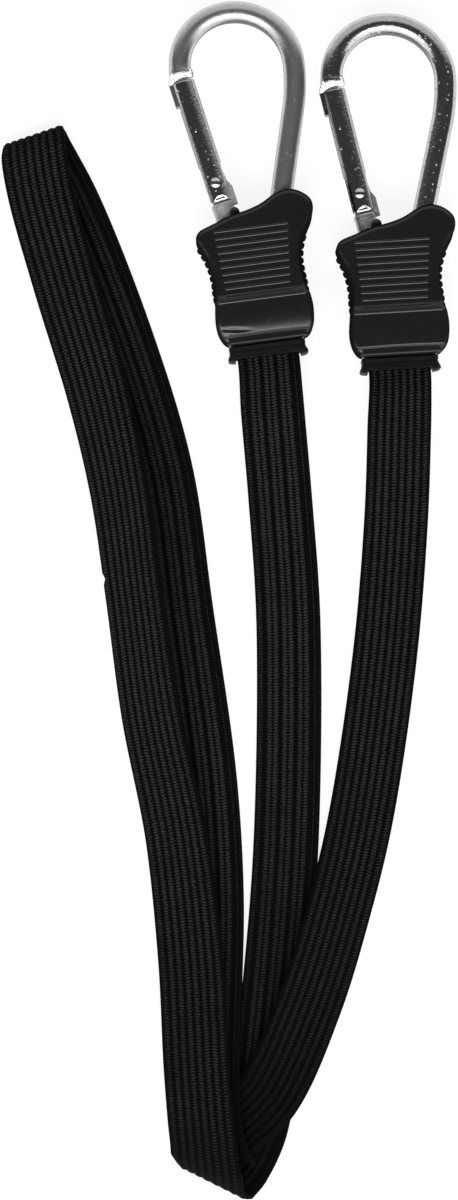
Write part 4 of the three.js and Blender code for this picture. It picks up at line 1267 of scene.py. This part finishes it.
def make_spring(end, finish):
    """The spring: a round wire carried up a helix in the gate's bore."""
    steps = 28 * SPRING_TURNS
    turn = np.linspace(0, 2 * math.pi * SPRING_TURNS, steps + 1)
    coil = PLUNGER_D / 2 - SPRING_WIRE / 2
    out = np.stack([np.cos(turn), np.zeros(steps + 1), np.sin(turn)], 1)
    middle = out * coil
    middle[:, 1] = np.linspace(spring_start, spring_end, steps + 1)
    around = full_turn(WIRE_SIDES)[None, :, None]
    wire = SPRING_WIRE / 2 * (np.cos(around) * out[:, None, :] + np.sin(around) * np.array([0, 1.0, 0]))
    spring = gate_loft(f"gate_coil_{end}", middle[:, None, :] + wire, end)
    dress(spring, finish, f"hook_gate_{end}", "spring_steel", f"gate_spring_{end}", crease=60)
    tips = np.array([[0, spring_end + SPRING_WIRE / 2, 0], [0, spring_start, 0]])
    far, near = in_fitting(on_gate(tips), end)
    keep = 1 - CAM_LIFT * GATE_OPEN / (spring_end - spring_start + SPRING_WIRE)
    far - near
    far * MM
    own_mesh(spring)


# Table and light

def make_table():
    """A white sheet under the cord. To the camera and in reflections it glows white, less its shadows."""
    square = np.array([(-1, -1, 0), (1, -1, 0), (1, 1, 0), (-1, 1, 0)])
    corners = TABLE_HALF * square - (0, 0, TABLE_DROP)
    table = put_mesh("white_table", corners, [np.arange(4)[None, :]])
    material, start = blank("white_sheet")
    path = start.node("LightPath")
    seen = (path + path.other("Is Glossy Ray") + path.other("Is Transmission Ray")).clamp()
    plain = start.node("BsdfDiffuse", None, {"Color": grey(TABLE_WHITE)})
    shade = start.node("BsdfDiffuse", None, {"Color": grey(TABLE_SHADE)})
    glow = start.node("Emission", None, {"Color": grey(1.0), "Strength": TABLE_GLOW})
    lit = start.node("AddShader", None, {0: shade, 1: glow})
    two_surfaces(start, seen, plain, lit)
    table.data.materials.append(material)


def make_light():
    """A soft box towards the strap's end, in a dark room with a bright panel below that box and a pale
    backdrop behind the hooks."""
    data = bpy.data.lights.new("soft_box", "AREA")
    data.shape = "RECTANGLE"
    data.size, data.size_y = BOX_SIZE
    data.energy = BOX_POWER
    lamp = put("soft_box", data)
    lamp.location = BOX_AT
    lamp.rotation_euler = (BOX_TILT, 0, 0)
    bpy.context.scene.world = bpy.data.worlds.new("room")
    start = emptied(bpy.context.scene.world)
    across = start.node("SeparateXYZ", None, {0: start.node("TexCoord")})
    ahead, up = across.other(1), across.other(2)

    def rising(value, low, high):
        """0 below low, 1 above high, and a smooth rise between."""
        sockets = {"Value": value, "From Min": low, "From Max": high}
        return start.node("MapRange", {"interpolation_type": "SMOOTHSTEP"}, sockets)

    backdrop = rising(ahead, 0.3, 0.6)
    panel = rising(0 - ahead, 0.3, 0.45) * rising(up, -0.02, 0.04) * (1 - rising(up, 0.8, 0.98))
    strength = ROOM + backdrop * BACKDROP + panel * PANEL
    sky = start.node("Background", None, {"Color": grey(1.0), "Strength": strength})
    start.node("OutputWorld", None, {"Surface": sky})


bpy.context.scene.view_settings.view_transform = "Standard"
make_camera()
make_strap()
# Its last number is the height of the painted shade along the gate's flanks
gate_metal = tumbled_metal("tumbled_gate_metal", 0.7, 0.12, 1.7, 2.3)
rivet_steel = tumbled_metal("bright_rivet_steel", 0.85, 0.14, 0.8)
spring_steel = drawn_steel("drawn_spring_steel", 0.4, 0.28)
anchor_steel = drawn_steel("plain_anchor_steel", 0.42, 0.3)
cover_plastic = moulded_plastic("satin_cover_plastic", 0.0105, 0.12, 0.54)
collar_plastic = moulded_plastic("satin_collar_plastic", 0.005, 0.5, 0.2)
hook_wear_and_flank_shade = {"a": (0.72, 0.3, 0.9, 1.3), "b": (0.68, 0.14, 1.5, 1.3)}  # level, roughness, pits, and the height of the painted shade along the flanks
for fitting in FITTINGS:
    make_covers(fitting, cover_plastic)
    make_collar(fitting, collar_plastic)
    hinge = in_fitting(on_gate(np.zeros(3)), fitting) * MM
    crown = in_fitting(np.array([CROWN_X, pin_y + CROWN_RISE, 0]), fitting) * MM
    wear_and_painted_shade = (*hook_wear_and_flank_shade[fitting], hinge, crown, fitting == "b")
    make_hook(fitting, tumbled_metal(f"tumbled_hook_metal_{fitting}", *wear_and_painted_shade))
    make_gate(fitting, gate_metal)
    make_rivet(fitting, rivet_steel)
    make_spring(fitting, spring_steel)
    for node, finish in (
        ("spring_plunger", spring_steel), ("strap_pin", anchor_steel), ("strap_crimp", anchor_steel),
    ):
        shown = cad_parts[f"{node}_{fitting}"]
        shown.data.materials.clear()
        shown.data.materials.append(finish)
make_table()
make_light()
